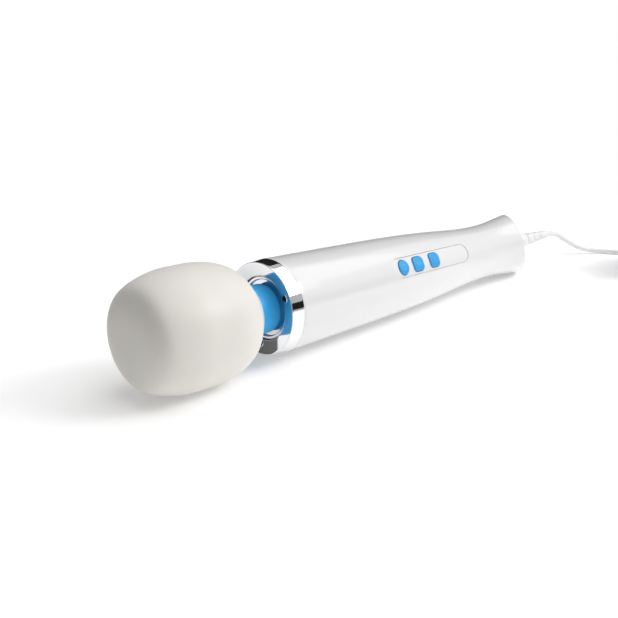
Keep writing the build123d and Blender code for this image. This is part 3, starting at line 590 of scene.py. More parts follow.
class Skin:
    """Vertices and faces of a piece, gathered before it becomes an object."""

    def __init__(self, place: Callable[[float, float, float], Vector]) -> None:
        """Starts an empty skin.

        Args:
            place: Turns a point of the piece's own frame into metres in the shared frame.
        """
        self.place = place
        self.points: list[Vector] = []
        self.faces: list[tuple[int, ...]] = []

    def row(self, points: Sequence[Point3]) -> list[int]:
        """Adds points and returns their numbers."""
        start = len(self.points)
        self.points += [self.place(*point) for point in points]
        return list(range(start, len(self.points)))

    def bridge(self, first: Sequence[int], second: Sequence[int], closed: bool) -> None:
        """Joins two rows of equal length with quads.

        Args:
            first: One row's numbers.
            second: The other's.
            closed: Whether the rows run round and meet themselves.
        """
        count = len(first)
        for i in range(count if closed else count - 1):
            j = (i + 1) % count
            self.faces.append((first[i], first[j], second[j], second[i]))

    def strip(self, rows: Sequence[Sequence[Point3]], closed: bool, loop: bool = False) -> None:
        """Adds rows and joins each to the next.

        Args:
            rows: The rows of points, all equally long.
            closed: Whether each row runs round.
            loop: Whether the last row is joined to the first.
        """
        numbers = [self.row(row) for row in rows]
        for first, second in zip(numbers, numbers[1:]):
            self.bridge(first, second, closed)
        if loop:
            self.bridge(numbers[-1], numbers[0], closed)

    def turn(self, profile: Sequence[Point2], loop: bool = False, segments: int = 128) -> None:
        """Turns a profile about the X axis of the piece's own frame.

        Args:
            profile: Its points (x, r).
            loop: Whether the profile closes on itself.
            segments: Steps round the axis.
        """
        turns = [2 * math.pi * i / segments for i in range(segments)]
        self.strip([[on_circle(x, r, t) for t in turns] for x, r in profile], True, loop)

    def piece(self, name: str, finish: Finish, crease: float = 32.0, wall: float = 0.0) -> bpy.types.Object:
        """Makes the object.

        Args:
            name: The piece's name.
            finish: What it is made of.
            crease: Edges sharper than this many degrees stay sharp.
            wall: Thickness given to an open skin, inwards.

        Returns:
            The object, in place.
        """
        mesh = bpy.data.meshes.new(name)
        mesh.from_pydata([tuple(p) for p in self.points], [], self.faces)
        work = bmesh.new()
        work.from_mesh(mesh)
        bmesh.ops.remove_doubles(work, verts=work.verts, dist=2e-7)
        bmesh.ops.dissolve_degenerate(work, edges=work.edges, dist=1e-7)
        bmesh.ops.recalc_face_normals(work, faces=work.faces)
        work.to_mesh(mesh)
        work.free()
        made = new_object(name, mesh)
        if wall:
            thick = made.modifiers.new("wall", "SOLIDIFY")
            thick.thickness, thick.offset = wall * MM, -1.0
            bake_modifiers(made)
        finish_mesh(made, finish, crease)
        return made


def bake_modifiers(made: bpy.types.Object) -> None:
    """Applies an object's modifiers to its mesh."""
    evaluated = made.evaluated_get(bpy.context.evaluated_depsgraph_get())
    mesh = bpy.data.meshes.new_from_object(evaluated)
    made.modifiers.clear()
    made.data = mesh


def finish_mesh(made: bpy.types.Object, finish: Finish, crease: float) -> None:
    """Smooths an object's shading, keeps its creases and gives it its finish."""
    made.data.materials.clear()
    made.data.materials.append(finish.material())
    made.data.shade_smooth()
    made.data.set_sharp_from_angle(angle=math.radians(crease))


def cut(made: bpy.types.Object, cutter: bpy.types.Object) -> None:
    """Cuts one object out of another and removes the cutter."""
    tool = made.modifiers.new("cut", "BOOLEAN")
    tool.operation, tool.solver, tool.object = "DIFFERENCE", "EXACT", cutter
    bake_modifiers(made)
    bpy.data.objects.remove(cutter)


def unite(parts: Sequence[bpy.types.Object]) -> bpy.types.Object:
    """Joins objects into the first of them.

    Args:
        parts: The objects.

    Returns:
        The joined object.
    """
    work = bmesh.new()
    for part in parts:
        work.from_mesh(part.data)
    work.to_mesh(parts[0].data)
    work.free()
    for part in parts[1:]:
        bpy.data.objects.remove(part)
    return parts[0]


# ---- studio ----------------------------------------------------------------------------------------
@dataclass
class Studio:
    """Camera, lights, pale surroundings and floor.

    Attributes:
        wand: The wand's frame.
        heading: Way the camera looks, in degrees from +X towards +Y.
        dip: How far it looks down, in degrees.
        distance: From the camera to the collar along its line of sight, in millimetres.
        aside: How far the collar is to the left of that line, in millimetres.
        lens: Focal length for a 36 mm sensor.
    """

    wand: WandFrame
    heading: float = 44.12
    dip: float = 17.93
    distance: float = 443.9
    aside: float = 25.7
    lens: float = 50.0

    FLOOR_REACH = 3000.0

    def axes(self) -> tuple[Vector, Vector, Vector]:
        """Directions to the camera's right, its top and its front."""
        turn, dip = math.radians(self.heading), math.radians(self.dip)
        forward = Vector((math.cos(turn) * math.cos(dip), math.sin(turn) * math.cos(dip), -math.sin(dip)))
        right = Vector((math.sin(turn), -math.cos(turn), 0))
        return right, right.cross(forward), forward

    def set_camera(self) -> None:
        """Adds the camera."""
        right, up, forward = self.axes()
        data = bpy.data.cameras.new("camera")
        data.lens, data.sensor_width = self.lens, 36.0
        data.clip_start, data.clip_end = 0.02, 50.0
        made = new_object("camera", data)
        axes = Matrix((right, up, -forward)).transposed().to_4x4()
        spot = self.wand.origin - (forward * self.distance - right * self.aside) * MM
        made.matrix_world = Matrix.Translation(spot) @ axes
        bpy.context.scene.camera = made

    def add_light(self, name: str, side: float, back: float, height: float, size: Point2,
                  power: float) -> None:
        """Adds a soft area light that faces the wand.

        Args:
            name: Its name.
            side: How far right of the wand it is, seen by the camera, in metres.
            back: How far behind the wand.
            height: How high.
            size: Its width and height in metres.
            power: Its power in watts.
        """
        right, _, forward = self.axes()
        level = Vector((forward.x, forward.y, 0)).normalized()
        data = bpy.data.lights.new(name, "AREA")
        data.shape, data.size, data.size_y, data.energy = "RECTANGLE", *size, power
        made = new_object(name, data)
        spot = right * side + level * back + Vector((0, 0, height))
        made.location = spot
        made.rotation_euler = (Vector((0, 0, 0.03)) - spot).to_track_quat("-Z", "Y").to_euler()

    def add_sky(self, strength: float) -> None:
        """Adds a wide soft light from above that reaches the whole floor evenly.

        Args:
            strength: Its strength in watts per square metre.
        """
        right, _, forward = self.axes()
        data = bpy.data.lights.new("sky", "SUN")
        data.energy, data.angle = strength, math.radians(70)
        made = new_object("sky", data)
        way = Vector((0, 0, 1)) + right * 0.45 + Vector((forward.x, forward.y, 0)) * 0.1
        made.rotation_euler = (-way).to_track_quat("-Z", "Y").to_euler()

    def set_surroundings(self) -> None:
        """Pale surroundings with a few dark cards that give the bright metal something to mirror."""
        world = bpy.data.worlds.new("surroundings")
        bpy.context.scene.world = world
        shader = Shader(world)
        way = shader.node("ShaderNodeTexCoord").outputs["Generated"]
        dark: Term | None = None
        for aim, width, height in self.cards():
            card = self.card(shader, way, aim, width, height)
            dark = card if dark is None else dark + card
        right, up, forward = self.axes()
        bright = (right * 0.5 + up * 0.8 + forward * 0.35).normalized()
        glow = shader.dot(way, bright).between(-0.6, 0.8) * 0.45 + 0.1
        seen = Term(shader, shader.node("ShaderNodeLightPath").outputs["Is Camera Ray"])
        dim = dark.between(0.05, 0.95) * 0.97
        strength = glow * (1 - dim) * (1 - seen) + seen
        back = shader.node("ShaderNodeBackground", None, {"Color": WHITE, "Strength": strength})
        shader.node("ShaderNodeOutputWorld", None, {"Surface": back.outputs[0]})

    def cards(self) -> list[tuple[Vector, float, float]]:
        """Direction of each dark card, and its half width and half height as shares of its distance."""
        return [
            (Vector((0.70, 0.57, 0.34)).normalized(), 0.36, 0.34),
            (Vector((0.683, -0.72, 0.10)).normalized(), 0.30, 0.11),
            (Vector((-0.75, -0.62, 0.12)).normalized(), 0.25, 0.2),
        ]

    def card(self, shader: Shader, way: bpy.types.NodeSocket, aim: Vector, width: float,
             height: float) -> Term:
        """One upright dark card.

        Args:
            shader: The world's tree.
            way: Direction that a ray takes.
            aim: Direction of the card's centre.
            width: Half its width.
            height: Half its height.

        Returns:
            1 on the card and 0 elsewhere.
        """
        side = aim.cross(Vector((0, 0, 1))).normalized()
        ahead, sideways, upwards = (shader.dot(way, axis) for axis in (aim, side, side.cross(aim)))
        in_front = ahead.between(0.3, 0.4)
        across = 1 - (sideways * sideways).between(width ** 2 * 0.95, width ** 2 * 1.05)
        upright = 1 - (upwards * upwards).between(height ** 2 * 0.95, height ** 2 * 1.05)
        return in_front * across * upright

    def set_floor(self) -> None:
        """Plain pale floor, not attached to any of the wand's bodies."""
        skin = Skin(on_ground)
        ends = -self.FLOOR_REACH, self.FLOOR_REACH
        skin.strip([[(x, y, 0.0) for x in ends] for y in ends], False)
        floor = skin.piece("floor", FLOOR)

    def build(self) -> None:
        """Sets the whole studio up."""
        self.set_camera()
        self.set_surroundings()
        self.set_floor()
        self.add_light("key", side=1.0, back=-0.1, height=0.8, size=(0.45, 0.45), power=5.6)
        self.add_light("front", side=0.1, back=-1.1, height=0.9, size=(0.6, 0.5), power=0.2)
        self.add_sky(strength=1.35)
        view = bpy.context.scene.view_settings
        view.view_transform, view.look, view.exposure = "Standard", "None", 0.0
        log.info("studio is set")


# ---- charging lead ---------------------------------------------------------------------------------
@dataclass
class ChargingLead:
    """Plug, lead, its tied coil, and the wall adapter. The lead's route is in millimetres of the ground.

    Attributes:
        wand: The wand's frame.
        thickness: The lead's diameter.
        coil_at: Centre of the coil.
        coil_middle: Radius of the middle column of turns.
        columns: Turns side by side.
        layers: Turns on top of each other.
        tie_thick: Thickness of the strap under and round the coil.
        tie_width: Width of the strap.
        adapter_at: Centre of the adapter.
        adapter: The adapter's length, width and height.
        adapter_edge: Radius of its edges.
    """

    wand: WandFrame
    thickness: float = 3.6
    coil_at: Point2 = (238.0, -73.5)
    coil_middle: float = 20.5
    columns: int = 3
    layers: int = 4
    tie_thick: float = 0.9
    tie_width: float = 9.0
    adapter_at: Point3 = (234.0, -75.5, 27.8)
    adapter: Point3 = (54.0, 34.0, 25.0)
    adapter_edge: float = 3.5

    TO_COIL = ((213.5, 0.0, 20.6), (228.0, -3.5, 11.5), (242.0, -10.5, 3.4), (254.0, -21.5, 1.8),
               (261.0, -37.0, 1.8), (262.1, -54.0, 1.9))
    TO_ADAPTER = ((206.0, -99.0, 16.0), (185.0, -100.0, 20.5), (173.0, -92.0, 24.5), (172.0, -81.0, 27.0),
                  (178.0, -75.5, 27.8), (187.0, -75.5, 27.8), (201.0, -75.5, 27.8), (215.0, -75.5, 27.8))
    TURN_POINTS = 16
    LAST_TURN = 0.25
    SLEEVE_TIP = 2.9

    def coil_points(self) -> list[Point3]:
        """Points of the coil's turns, out to in and in to out by layers, clockwise from above."""
        spots: list[Point3] = []
        pull = math.cos(math.pi / self.TURN_POINTS)
        turns = self.columns * self.layers
        whole = turns - 1 + self.LAST_TURN
        for i in range(1, round(whole * self.TURN_POINTS) + 1):
            turn, share = divmod(i, self.TURN_POINTS)
            cross = max(0.0, share / self.TURN_POINTS * 4 - 3)
            cross = cross * cross * (3 - 2 * cross)
            column, layer = self.cell(turn)
            next_column, next_layer = self.cell(min(turn + 1, turns - 1))
            offset = column + (next_column - column) * cross
            level = layer + (next_layer - layer) * cross
            radius = self.coil_middle + (offset - (self.columns - 1) / 2) * self.thickness
            angle = -2 * math.pi * share / self.TURN_POINTS
            height = self.tie_thick + self.thickness * (level + 0.5)
            spots.append((self.coil_at[0] + radius / pull * math.cos(angle),
                          self.coil_at[1] + radius / pull * math.sin(angle), height))
        return spots

    def cell(self, turn: int) -> tuple[int, int]:
        """Column, counted from the inside, and layer of a turn."""
        layer, step = divmod(turn, self.columns)
        return (self.columns - 1 - step if layer % 2 == 0 else step), layer

    def cord(self, exit_at: Vector) -> bpy.types.Object:
        """The lead itself, as one smooth line from the plug to the adapter.

        Args:
            exit_at: Where it leaves the plug's sleeve.

        Returns:
            The curve.
        """
        curve = bpy.data.curves.new("charging_cord", "CURVE")
        curve.dimensions = "3D"
        curve.bevel_depth, curve.bevel_resolution = self.thickness / 2 * MM, 5
        curve.resolution_u = 5
        spots = [exit_at] + [on_ground(*p) for p in (*self.TO_COIL, *self.coil_points(), *self.TO_ADAPTER)]
        spline = curve.splines.new("NURBS")
        spline.points.add(len(spots) - 1)
        for point, spot in zip(spline.points, spots):
            point.co = (*spot, 1.0)
        spline.order_u = 3
        spline.use_endpoint_u = True
        made = new_object("charging_cord", curve)
        curve.materials.append(LEAD_WHITE.material())
        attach(made, "handle")
        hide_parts("cord_run", "cord_coil", "cord_tail")
        self.thickness * MM
        return made

    def sleeve(self, name: str, place: Callable[[float, float, float], Vector], ends: Point2, radii: Point2,
               rings: int) -> bpy.types.Object:
        """Tapered strain relief with staggered slots.

        Args:
            name: The piece's name.
            place: Its frame; X runs along the cord.
            ends: Where it starts and ends.
            radii: Its radius at each end.
            rings: How many rows of slots it has.

        Returns:
            The object.
        """
        (x0, x1), (r0, r1) = ends, radii
        segments, depth = 64, 0.75
        start, pitch = x0 + 2.5, (x1 - x0 - 5.5) / rings
        skin = Skin(place)
        rows = [[(x0, 0.0, 0.0)] * segments]
        for x in np.linspace(x0, x1, int((x1 - x0) / 0.3)):
            base = r0 + (r1 - r0) * (x - x0) / (x1 - x0)
            base -= 0.35 * max(0.0, 1 - (x1 - x) / 0.6) ** 2
            number, within = divmod((x - start) / pitch, 1.0)
            inside = 0 <= number < rings
            slot = max(0.0, math.sin(math.pi * min(within / 0.42, 1.0))) ** 0.5 if inside else 0.0
            row = []
            for i in range(segments):
                t = 2 * math.pi * i / segments
                gap = min(1.0, max(0.0, 0.75 + 1.6 * math.cos(2 * (t + number * math.pi / 2))))
                row.append(on_circle(float(x), base - depth * slot * gap, t))
            rows.append(row)
        rows.append([(x1, 0.0, 0.0)] * segments)
        skin.strip(rows, True)
        return skin.piece(name, LEAD_WHITE, crease=50)

    def plug(self) -> list[bpy.types.Object]:
        """Moulded plug with its grip rings, and its strain relief."""
        body, relief = self.wand.measure("plug_body"), self.wand.measure("plug_relief")
        r, ring = body.radius, 1.3
        corners: list[Point3] = [(body.front, 0, 0), (body.front, r, 0.6)]
        for i in range(4):
            x = body.back - 12.0 + i * 2.6
            corners += [(x, r, 0.3), (x + ring / 2, r - 0.45, 0.4), (x + ring, r, 0.3)]
        corners += [(body.back, r - 0.35, 0.8), (body.back, 0, 0)]
        skin = Skin(self.wand.at)
        skin.turn(rounded(corners), segments=96)
        made = skin.piece("plug_moulding", LEAD_WHITE, crease=50)
        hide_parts("plug_body")
        ends, radii = (relief.front, relief.back), (relief.radius, self.SLEEVE_TIP)
        sleeve = self.sleeve("plug_sleeve", self.wand.at, ends, radii, rings=6)
        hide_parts("plug_relief")
        return [made, sleeve]

    def tie(self) -> bpy.types.Object:
        """Hook-and-loop strap round the turns, with its lapped end."""
        half = self.columns * self.thickness / 2
        height = self.layers * self.thickness
        x, y, soft = self.coil_at[0], self.coil_at[1] + self.coil_middle, 1.2
        outline = Outline(0.0, half - soft, height / 2 - soft, soft + 0.05)
        middle, edge = self.tie_thick + height / 2, self.tie_width / 2

        def place(across: float, along: float, up: float) -> Vector:
            """Frame of the strap: its turn round the cords is in X and Z."""
            return on_ground(x + along, y + across, middle + up)

        skin = Skin(place)
        skin.strip(self._band(outline, edge, self.tie_thick), True, loop=True)
        strap = skin.piece("tie_strap", TIE_WHITE, crease=40)
        side, edge = half + self.tie_thick, edge - 0.5
        lap = Skin(place)
        line = [(side + 0.02, height / 2 - 1.5 - 0.9 * i) for i in range(9)]
        lap.strip([[(a, -edge, u) for a, u in line], [(a + 0.7, -edge, u) for a, u in line],
                   [(a + 0.7, edge, u) for a, u in line], [(a, edge, u) for a, u in line]], False, loop=True)
        lapped = lap.piece("tie_lap", TIE_WHITE, crease=40)
        made = unite([strap, lapped])
        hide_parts("coil_tie")
        return made

    def _band(self, outline: Outline, edge: float, thick: float) -> list[list[Point3]]:
        """Rows that make a flat band with softened edges round an upright outline.

        Args:
            outline: The outline that it lies on.
            edge: Half the band's width.
            thick: Its thickness.

        Returns:
            Rows of points round the outline.
        """
        rows = []
        for grow, along in ((0.0, -edge), (thick * 0.7, -edge), (thick, 0.3 - edge), (thick, edge - 0.3),
                            (thick * 0.7, edge), (0.0, edge)):
            rows.append([(x, along, z) for x, z in outline.loop(grow, 10)])
        return rows

    def case(self, upper: bool) -> bpy.types.Object:
        """Half of the adapter's case, with a fine parting groove.

        Args:
            upper: Whether it is the upper half.

        Returns:
            The object.
        """
        length, width, height = self.adapter
        edge, way = self.adapter_edge, 1 if upper else -1
        cx, cy, cz = self.adapter_at
        outline = Outline(cx, length / 2 - edge, width / 2 - edge, edge, cy)
        middle = height / 2
        levels = [(-0.35, 0.08), (-0.1, 0.14), (0.0, 0.35), (0.0, 4.0), (0.0, middle - edge)]
        for i in range(1, 9):
            turn = math.pi / 2 * i / 8
            levels.append((-edge * (1 - math.cos(turn)), middle - edge + edge * math.sin(turn)))
        rows = [[(x, y, cz + way * z) for x, y in outline.loop(grow, 16)] for grow, z in levels]
        rim = rows[-1]
        for share in (0.75, 0.4, 0.0):
            rows.append([(cx + (x - cx) * share, cy + (y - cy) * share, z) for x, y, z in rim])
        skin = Skin(on_ground)
        skin.strip(rows, True)
        node = "adapter_top" if upper else "adapter_base"
        made = skin.piece("adapter_lid" if upper else "adapter_tray", ADAPTER_WHITE, crease=40, wall=1.8)
        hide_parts(node)
        return made

    def build(self) -> None:
        """Makes the lead and everything on it."""
        x, y, z = self.adapter_at
        side = x - self.adapter[0] / 2

        def by_adapter(along: float, across: float, up: float) -> Vector:
            """Frame of the adapter's strain relief."""
            return on_ground(side - along, y - across, z + up)

        ends, radii = (-2.0, 20.0), (4.2, self.SLEEVE_TIP)
        adapter_sleeve = self.sleeve("adapter_sleeve", by_adapter, ends, radii, rings=4)
        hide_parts("adapter_relief")
        pieces = [*self.plug(), self.tie(), adapter_sleeve, self.case(True), self.case(False)]
        blades = frame["nodes"]["adapter_blades"]
        softened = blades.modifiers.new("edges", "BEVEL")
        softened.width, softened.segments, softened.limit_method = 0.0003, 2, "ANGLE"
        for piece in pieces:
            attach(piece, "handle")
            log.info("made %s", piece.name)
        exit_at = self.wand.at(self.wand.measure("plug_relief").back)
        self.cord(exit_at)
        log.info("made the charging cord")


# ---- head ------------------------------------------------------------------------------------------
@dataclass
class Head:
    """Soft barrel-shaped cap of the head.

    Attributes:
        wand: The wand's frame.
        band: Length of the straight band round the widest part.
        band_forward: How far the band is in front of the middle.
        wall: Thickness of the soft cap over the core.
        lip: Radius of the opening round the neck.
    """

    wand: WandFrame
    band: float = 11.0
    band_forward: float = 2.05
    wall: float = 5.4
    lip: float = 13.35

    NOSE = ((1.2, 12.4), (4.3, 6.7), (9.3, 3.7), (16.0, 1.6))
    SHOULDER = ((17.0, 2.3), (10.0, 5.8), (4.7, 11.1))

    def outer(self, size: Extent) -> list[Point2]:
        """Outer profile from the tip to the opening round the neck.

        Args:
            size: What the CAD cap takes.

        Returns:
            Points (x, r).
        """
        r, front, back = size.radius, size.front, size.back
        band0 = size.middle - self.band_forward - self.band / 2
        band1 = band0 + self.band
        lip_start = (back - 0.5, self.lip + 1.0)
        nose = [(front, 0), *((front + x, r - drop) for x, drop in self.NOSE), (band0, r)]
        shoulder = [(band1, r), *((back - x, r - drop) for x, drop in self.SHOULDER), lip_start]
        nose = smooth_line(nose, 8, start=(0, 1), end=(1, 0))
        shoulder = smooth_line(shoulder, 8, start=(1, 0), end=(0.25, -1))
        lip = rounded([(*lip_start, 0), (back, self.lip, 0.45), (back - 1.0, self.lip, 0.4),
                       (back - 2.0, self.lip + 1.75, 0)])
        return nose + shoulder + lip[1:]

    def inner(self, size: Extent) -> list[Point2]:
        """Inner profile from the opening back to the axis at the front."""
        core = size.radius - self.wall + 0.1
        front, back = size.front + self.wall - 0.1, size.back - 2.4
        return [(back - 5.5, core * 0.75), (back - 17.0, core), (size.middle, core), (front + 8.0, core),
                (front, core - 8.0), (front, core / 2), (front, 0)]

    def build(self) -> None:
        """Makes the cap, a soft pad over the hard core."""
        size = self.wand.measure("head_cap")
        skin = Skin(self.wand.at)
        skin.turn([*self.outer(size), *self.inner(size)], segments=160)
        cap = skin.piece("soft_head", SOFT_CREAM, crease=60)
        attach(cap, "head")
        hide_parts("head_cap")
        log.info("made %s", cap.name)


# ---- neck ------------------------------------------------------------------------------------------
@dataclass
class Neck:
    """Blue boot, the tube inside it and the drive coupling, each in two pieces that meet at the pivot.

    Attributes:
        wand: The wand's frame.
        bend: Distances in front of the pivot and behind it, handed to the boot's and the tube's sleeves; they
            don't change their shape.
        shaft_gap: The same for the coupling.
    """

    wand: WandFrame
    bend: Point2 = (5.0, 5.5)
    shaft_gap: Point2 = (3.0, 3.0)

    def boot_profile(self, size: Extent) -> list[Point2]:
        """Outer profile of the boot, from the head's socket to its flange."""
        r, waist, flange = 13.0, 11.0, size.radius
        mouth = size.front + 4.0
        return rounded([(size.front, r - 0.3, 0), (mouth, r - 0.3, 0.2), (mouth + 1.0, r, 0.3), (2.4, r, 0.9),
                        (4.2, waist, 0.5), (8.1, waist, 0), (8.1, flange, 0.3), (size.back, flange, 0)])

    def sleeve(self, name: str, finish: Finish, outer: Sequence[Point2], bore: float, node: str,
               bend: Point2) -> None:
        """Makes a sleeve in two halves that bend with the neck.

        Args:
            name: Start of the pieces' names.
            finish: What they are made of.
            outer: Outer profile from front to back.
            bore: Inner radius.
            node: The CAD node that they stand for.
            bend: Distances in front of the pivot and behind it; they don't change the halves.
        """
        fine = divided(outer, 0.6)
        pivot = NECK_PIVOT
        edge = float(np.interp(pivot, [x for x, _ in fine], [r for _, r in fine]))
        front = [p for p in fine if p[0] < pivot - 0.05] + [(pivot, edge)]
        back = [(pivot, edge)] + [p for p in fine if p[0] > pivot + 0.05]
        for half, line, bodies in (("front", front, ("neck", "head")), ("back", back, ("handle", "neck"))):
            skin = Skin(self.wand.at)
            inside = [(x, bore) for x in np.arange(line[-1][0], line[0][0], -0.6)] + [(line[0][0], bore)]
            skin.turn([*line, *inside], loop=True, segments=96)
            made = skin.piece(f"{name}_{half}", finish, crease=60)
            reach = (pivot, pivot - bend[0]) if half == "front" else (pivot + bend[1], pivot)
            self.wand.at(reach[0])
            self.wand.at(reach[1])
            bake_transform(made)
            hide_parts(node)
            log.info("made %s", made.name)

    def build(self) -> None:
        """Makes all three sleeves."""
        boot, tube = self.wand.measure("neck_boot"), self.wand.measure("neck_tube")
        profile, bore = self.boot_profile(boot), tube.radius + 0.3
        # The boot gets the blue that is painted lighter to offset the head's shade on the neck.
        self.sleeve("neck_boot", BOOT_BLUE_PAINTED_LIGHTER, profile, bore, "neck_boot", self.bend)
        for name, node, bend in (("neck_tube", "neck_tube", self.bend),
                                 ("neck_coupling", "drive_coupling", self.shaft_gap)):
            size = self.wand.measure(node)
            outer = [(size.front, size.radius), (size.back, size.radius)]
            self.sleeve(name, BLACK_RUBBER, outer, size.bore, node, bend)


def divided(profile: Sequence[Point2], step: float) -> list[Point2]:
    """Profile with its long stretches divided.

    Args:
        profile: Its points.
        step: Longest stretch wanted.

    Returns:
        The points with more between them.
    """
    line = [profile[0]]
    for (ax, ar), (bx, br) in zip(profile, profile[1:]):
        parts = max(1, math.ceil(math.hypot(bx - ax, br - ar) / step))
        line += [(ax + (bx - ax) * i / parts, ar + (br - ar) * i / parts) for i in range(1, parts + 1)]
    return line


# ---- collar ----------------------------------------------------------------------------------------
@dataclass
class Collar:
    """Bright collar with its dished face, the lip ring round the neck and the bright rims of the screws.

    Attributes:
        wand: The wand's frame.
        length: Length of the collar's band.
        shoulder: Its radius where it meets the handle.
        dish: How deep the dished face goes.
        web: Thickness of its front wall.
        screws: How many screws there are.
        seat: Radius of a screw's seat.
        rim: Radius of the collar's front edge.
        bore: Radius of the hole round the neck.
        spigot: Outer radius of the part inside the handle.
        inside: Inner radius of that part.
    """

    wand: WandFrame
    length: float = 8.0
    shoulder: float = 25.2
    dish: float = 2.4
    web: float = 4.1
    screws: int = 3
    seat: float = 1.85
    rim: float = 24.5
    bore: float = 17.1
    spigot: float = 22.5
    inside: float = 21.1

    def screw_spots(self) -> list[Point2]:
        """Places (y, z) of the screws."""
        size = self.wand.measure("collar_screws")
        away = (size.radius + size.bore) / 2
        turns = [2 * math.pi * i / self.screws for i in range(self.screws)]
        return [(away * math.sin(t), away * math.cos(t)) for t in turns]

    def ring(self) -> bpy.types.Object:
        """Turned collar with its screw seats cut."""
        deep, end = self.dish + self.web, self.length + 8.0
        corners = [(deep, self.bore, 0), (self.dish, self.bore, 0.3), (0.0, self.rim, 0.45),
                   (self.length, self.shoulder, 0.22), (self.length, self.spigot, 0), (end, self.spigot, 0.3),
                   (end, self.inside, 0), (deep, self.inside, 0), (deep, self.bore, 0)]
        skin = Skin(self.wand.at)
        skin.turn(divided(rounded(corners, 5), 0.9), segments=192)
        ring = skin.piece("bright_collar", CHROME)
        cutters = []
        for i, (y, z) in enumerate(self.screw_spots()):
            cutter = Skin(lambda x, a, b, y=y, z=z: self.wand.at(x, y + a, z + b))
            cutter.turn([(-1, 0), (-1, self.seat), (3.4, self.seat), (3.4, 0)], segments=40)
            cutters.append(cutter.piece(f"seat_{i}", CHROME))
        cut(ring, unite(cutters))
        rims = [self.screw_rim(i, y, z) for i, (y, z) in enumerate(self.screw_spots())]
        ring = unite([ring, *rims])
        finish_mesh(ring, CHROME, 32)
        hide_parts("collar_ring")
        return ring

    def screw_rim(self, number: int, y: float, z: float) -> bpy.types.Object:
        """Small bright rim that stands round one screw's seat, square to the dished face."""
        away = math.hypot(y, z)
        slope = math.atan2(self.dish, self.rim - self.bore)
        face = self.dish * (self.rim - away) / (self.rim - self.bore)
        out = Vector((0, y / away, z / away))
        normal = Vector((-math.cos(slope), 0, 0)) - out * math.sin(slope)
        side = out.cross(normal).normalized()
        top = normal.cross(side)
        centre = Vector((face, y, z))

        def place(x: float, a: float, b: float) -> Vector:
            """Frame of the rim: X stands out of the face."""
            spot = centre + normal * x + side * a + top * b
            return self.wand.at(*spot)

        skin = Skin(place)
        turns = [2 * math.pi * i / 12 for i in range(12)]
        profile = [(0.05 + 0.2 * math.cos(t), self.seat + 0.2 + 0.26 * math.sin(t)) for t in turns]
        skin.turn(profile, loop=True, segments=48)
        return skin.piece(f"rim_{number}", CHROME)

    def lip_ring(self) -> bpy.types.Object:
        """Rounded ring round the neck."""
        front = self.wand.measure("lip_ring").front
        corners = [(6.6, 17.6, 0), (6.6, 16.9, 0), (front, 16.9, 0.75), (front, 14.9, 0.8), (5.0, 14.9, 0.2),
                   (5.0, 11.3, 0.2), (8.0, 11.3, 0), (8.0, 17.6, 0), (6.6, 17.6, 0)]
        skin = Skin(self.wand.at)
        skin.turn(divided(rounded(corners, 6), 0.9), segments=192)
        ring = skin.piece("bright_lip", CHROME)
        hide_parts("lip_ring")
        return ring

    def build(self) -> None:
        """Makes the collar's pieces."""
        for piece in (self.ring(), self.lip_ring()):
            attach(piece, "handle")
            log.info("made %s", piece.name)


# ---- handle ----------------------------------------------------------------------------------------
PANEL_MIDDLE = 123.5
PANEL_HALF = 33.6


@dataclass
class HandleForm:
    """The handle's outer surface: its radius along the axis and its slanted end.

    Attributes:
        front: Where the handle starts.
        tail: Where the slanted end crosses the axis.
        slant: Angle of the end from square, in degrees.
    """

    front: float = 8.0
    tail: float = 245.0
    slant: float = 40.0

    STATIONS = ((8.0, 25.2), (75.0, 23.9), (145.0, 20.95), (212.0, 18.1), (245.0, 21.2), (267.0, 22.6))

    def __post_init__(self) -> None:
        """Works the smooth outline out once."""
        line = smooth_line(self.STATIONS, 400)
        self._x, self._r = [x for x, _ in line], [r for _, r in line]

    def radius(self, x: float) -> float:
        """Radius of the surface at x."""
        return float(np.interp(x, self._x, self._r))

    def end(self, turn: float, inset: float = 0.0) -> float:
        """Where the surface, moved in by inset, meets the slanted end at that turn in radians."""
        x = self.tail
        for _ in range(30):
            x = self.on_end(turn, self.radius(x) - inset)
        return x

    def on_end(self, turn: float, r: float) -> float:
        """Where the slanted end is at a turn and radius."""
        return self.tail - r * math.cos(turn) * math.tan(math.radians(self.slant))

    def above(self, x: float, y: float, grow: float, side: int = 1) -> float:
        """Height of the surface over the wand's middle plane, moved out by grow, on the side +1 or -1."""
        return side * math.sqrt((self.radius(x) + grow) ** 2 - y * y)


@dataclass(frozen=True)
class Window:
    """Part of a shell that is left out of its grid and filled round an opening.

    Attributes:
        opening: The opening's outline.
        front: Where the window starts along the wand.
        back: Where it ends.
        half_turn: Half its width, in degrees.
        turn: Its middle, in degrees from the button side.
        bevel: Rounding of the opening's edge.
        wall: Depth of the opening's wall.
    """

    opening: Outline
    front: float
    back: float
    half_turn: int
    turn: int
    bevel: float
    wall: float


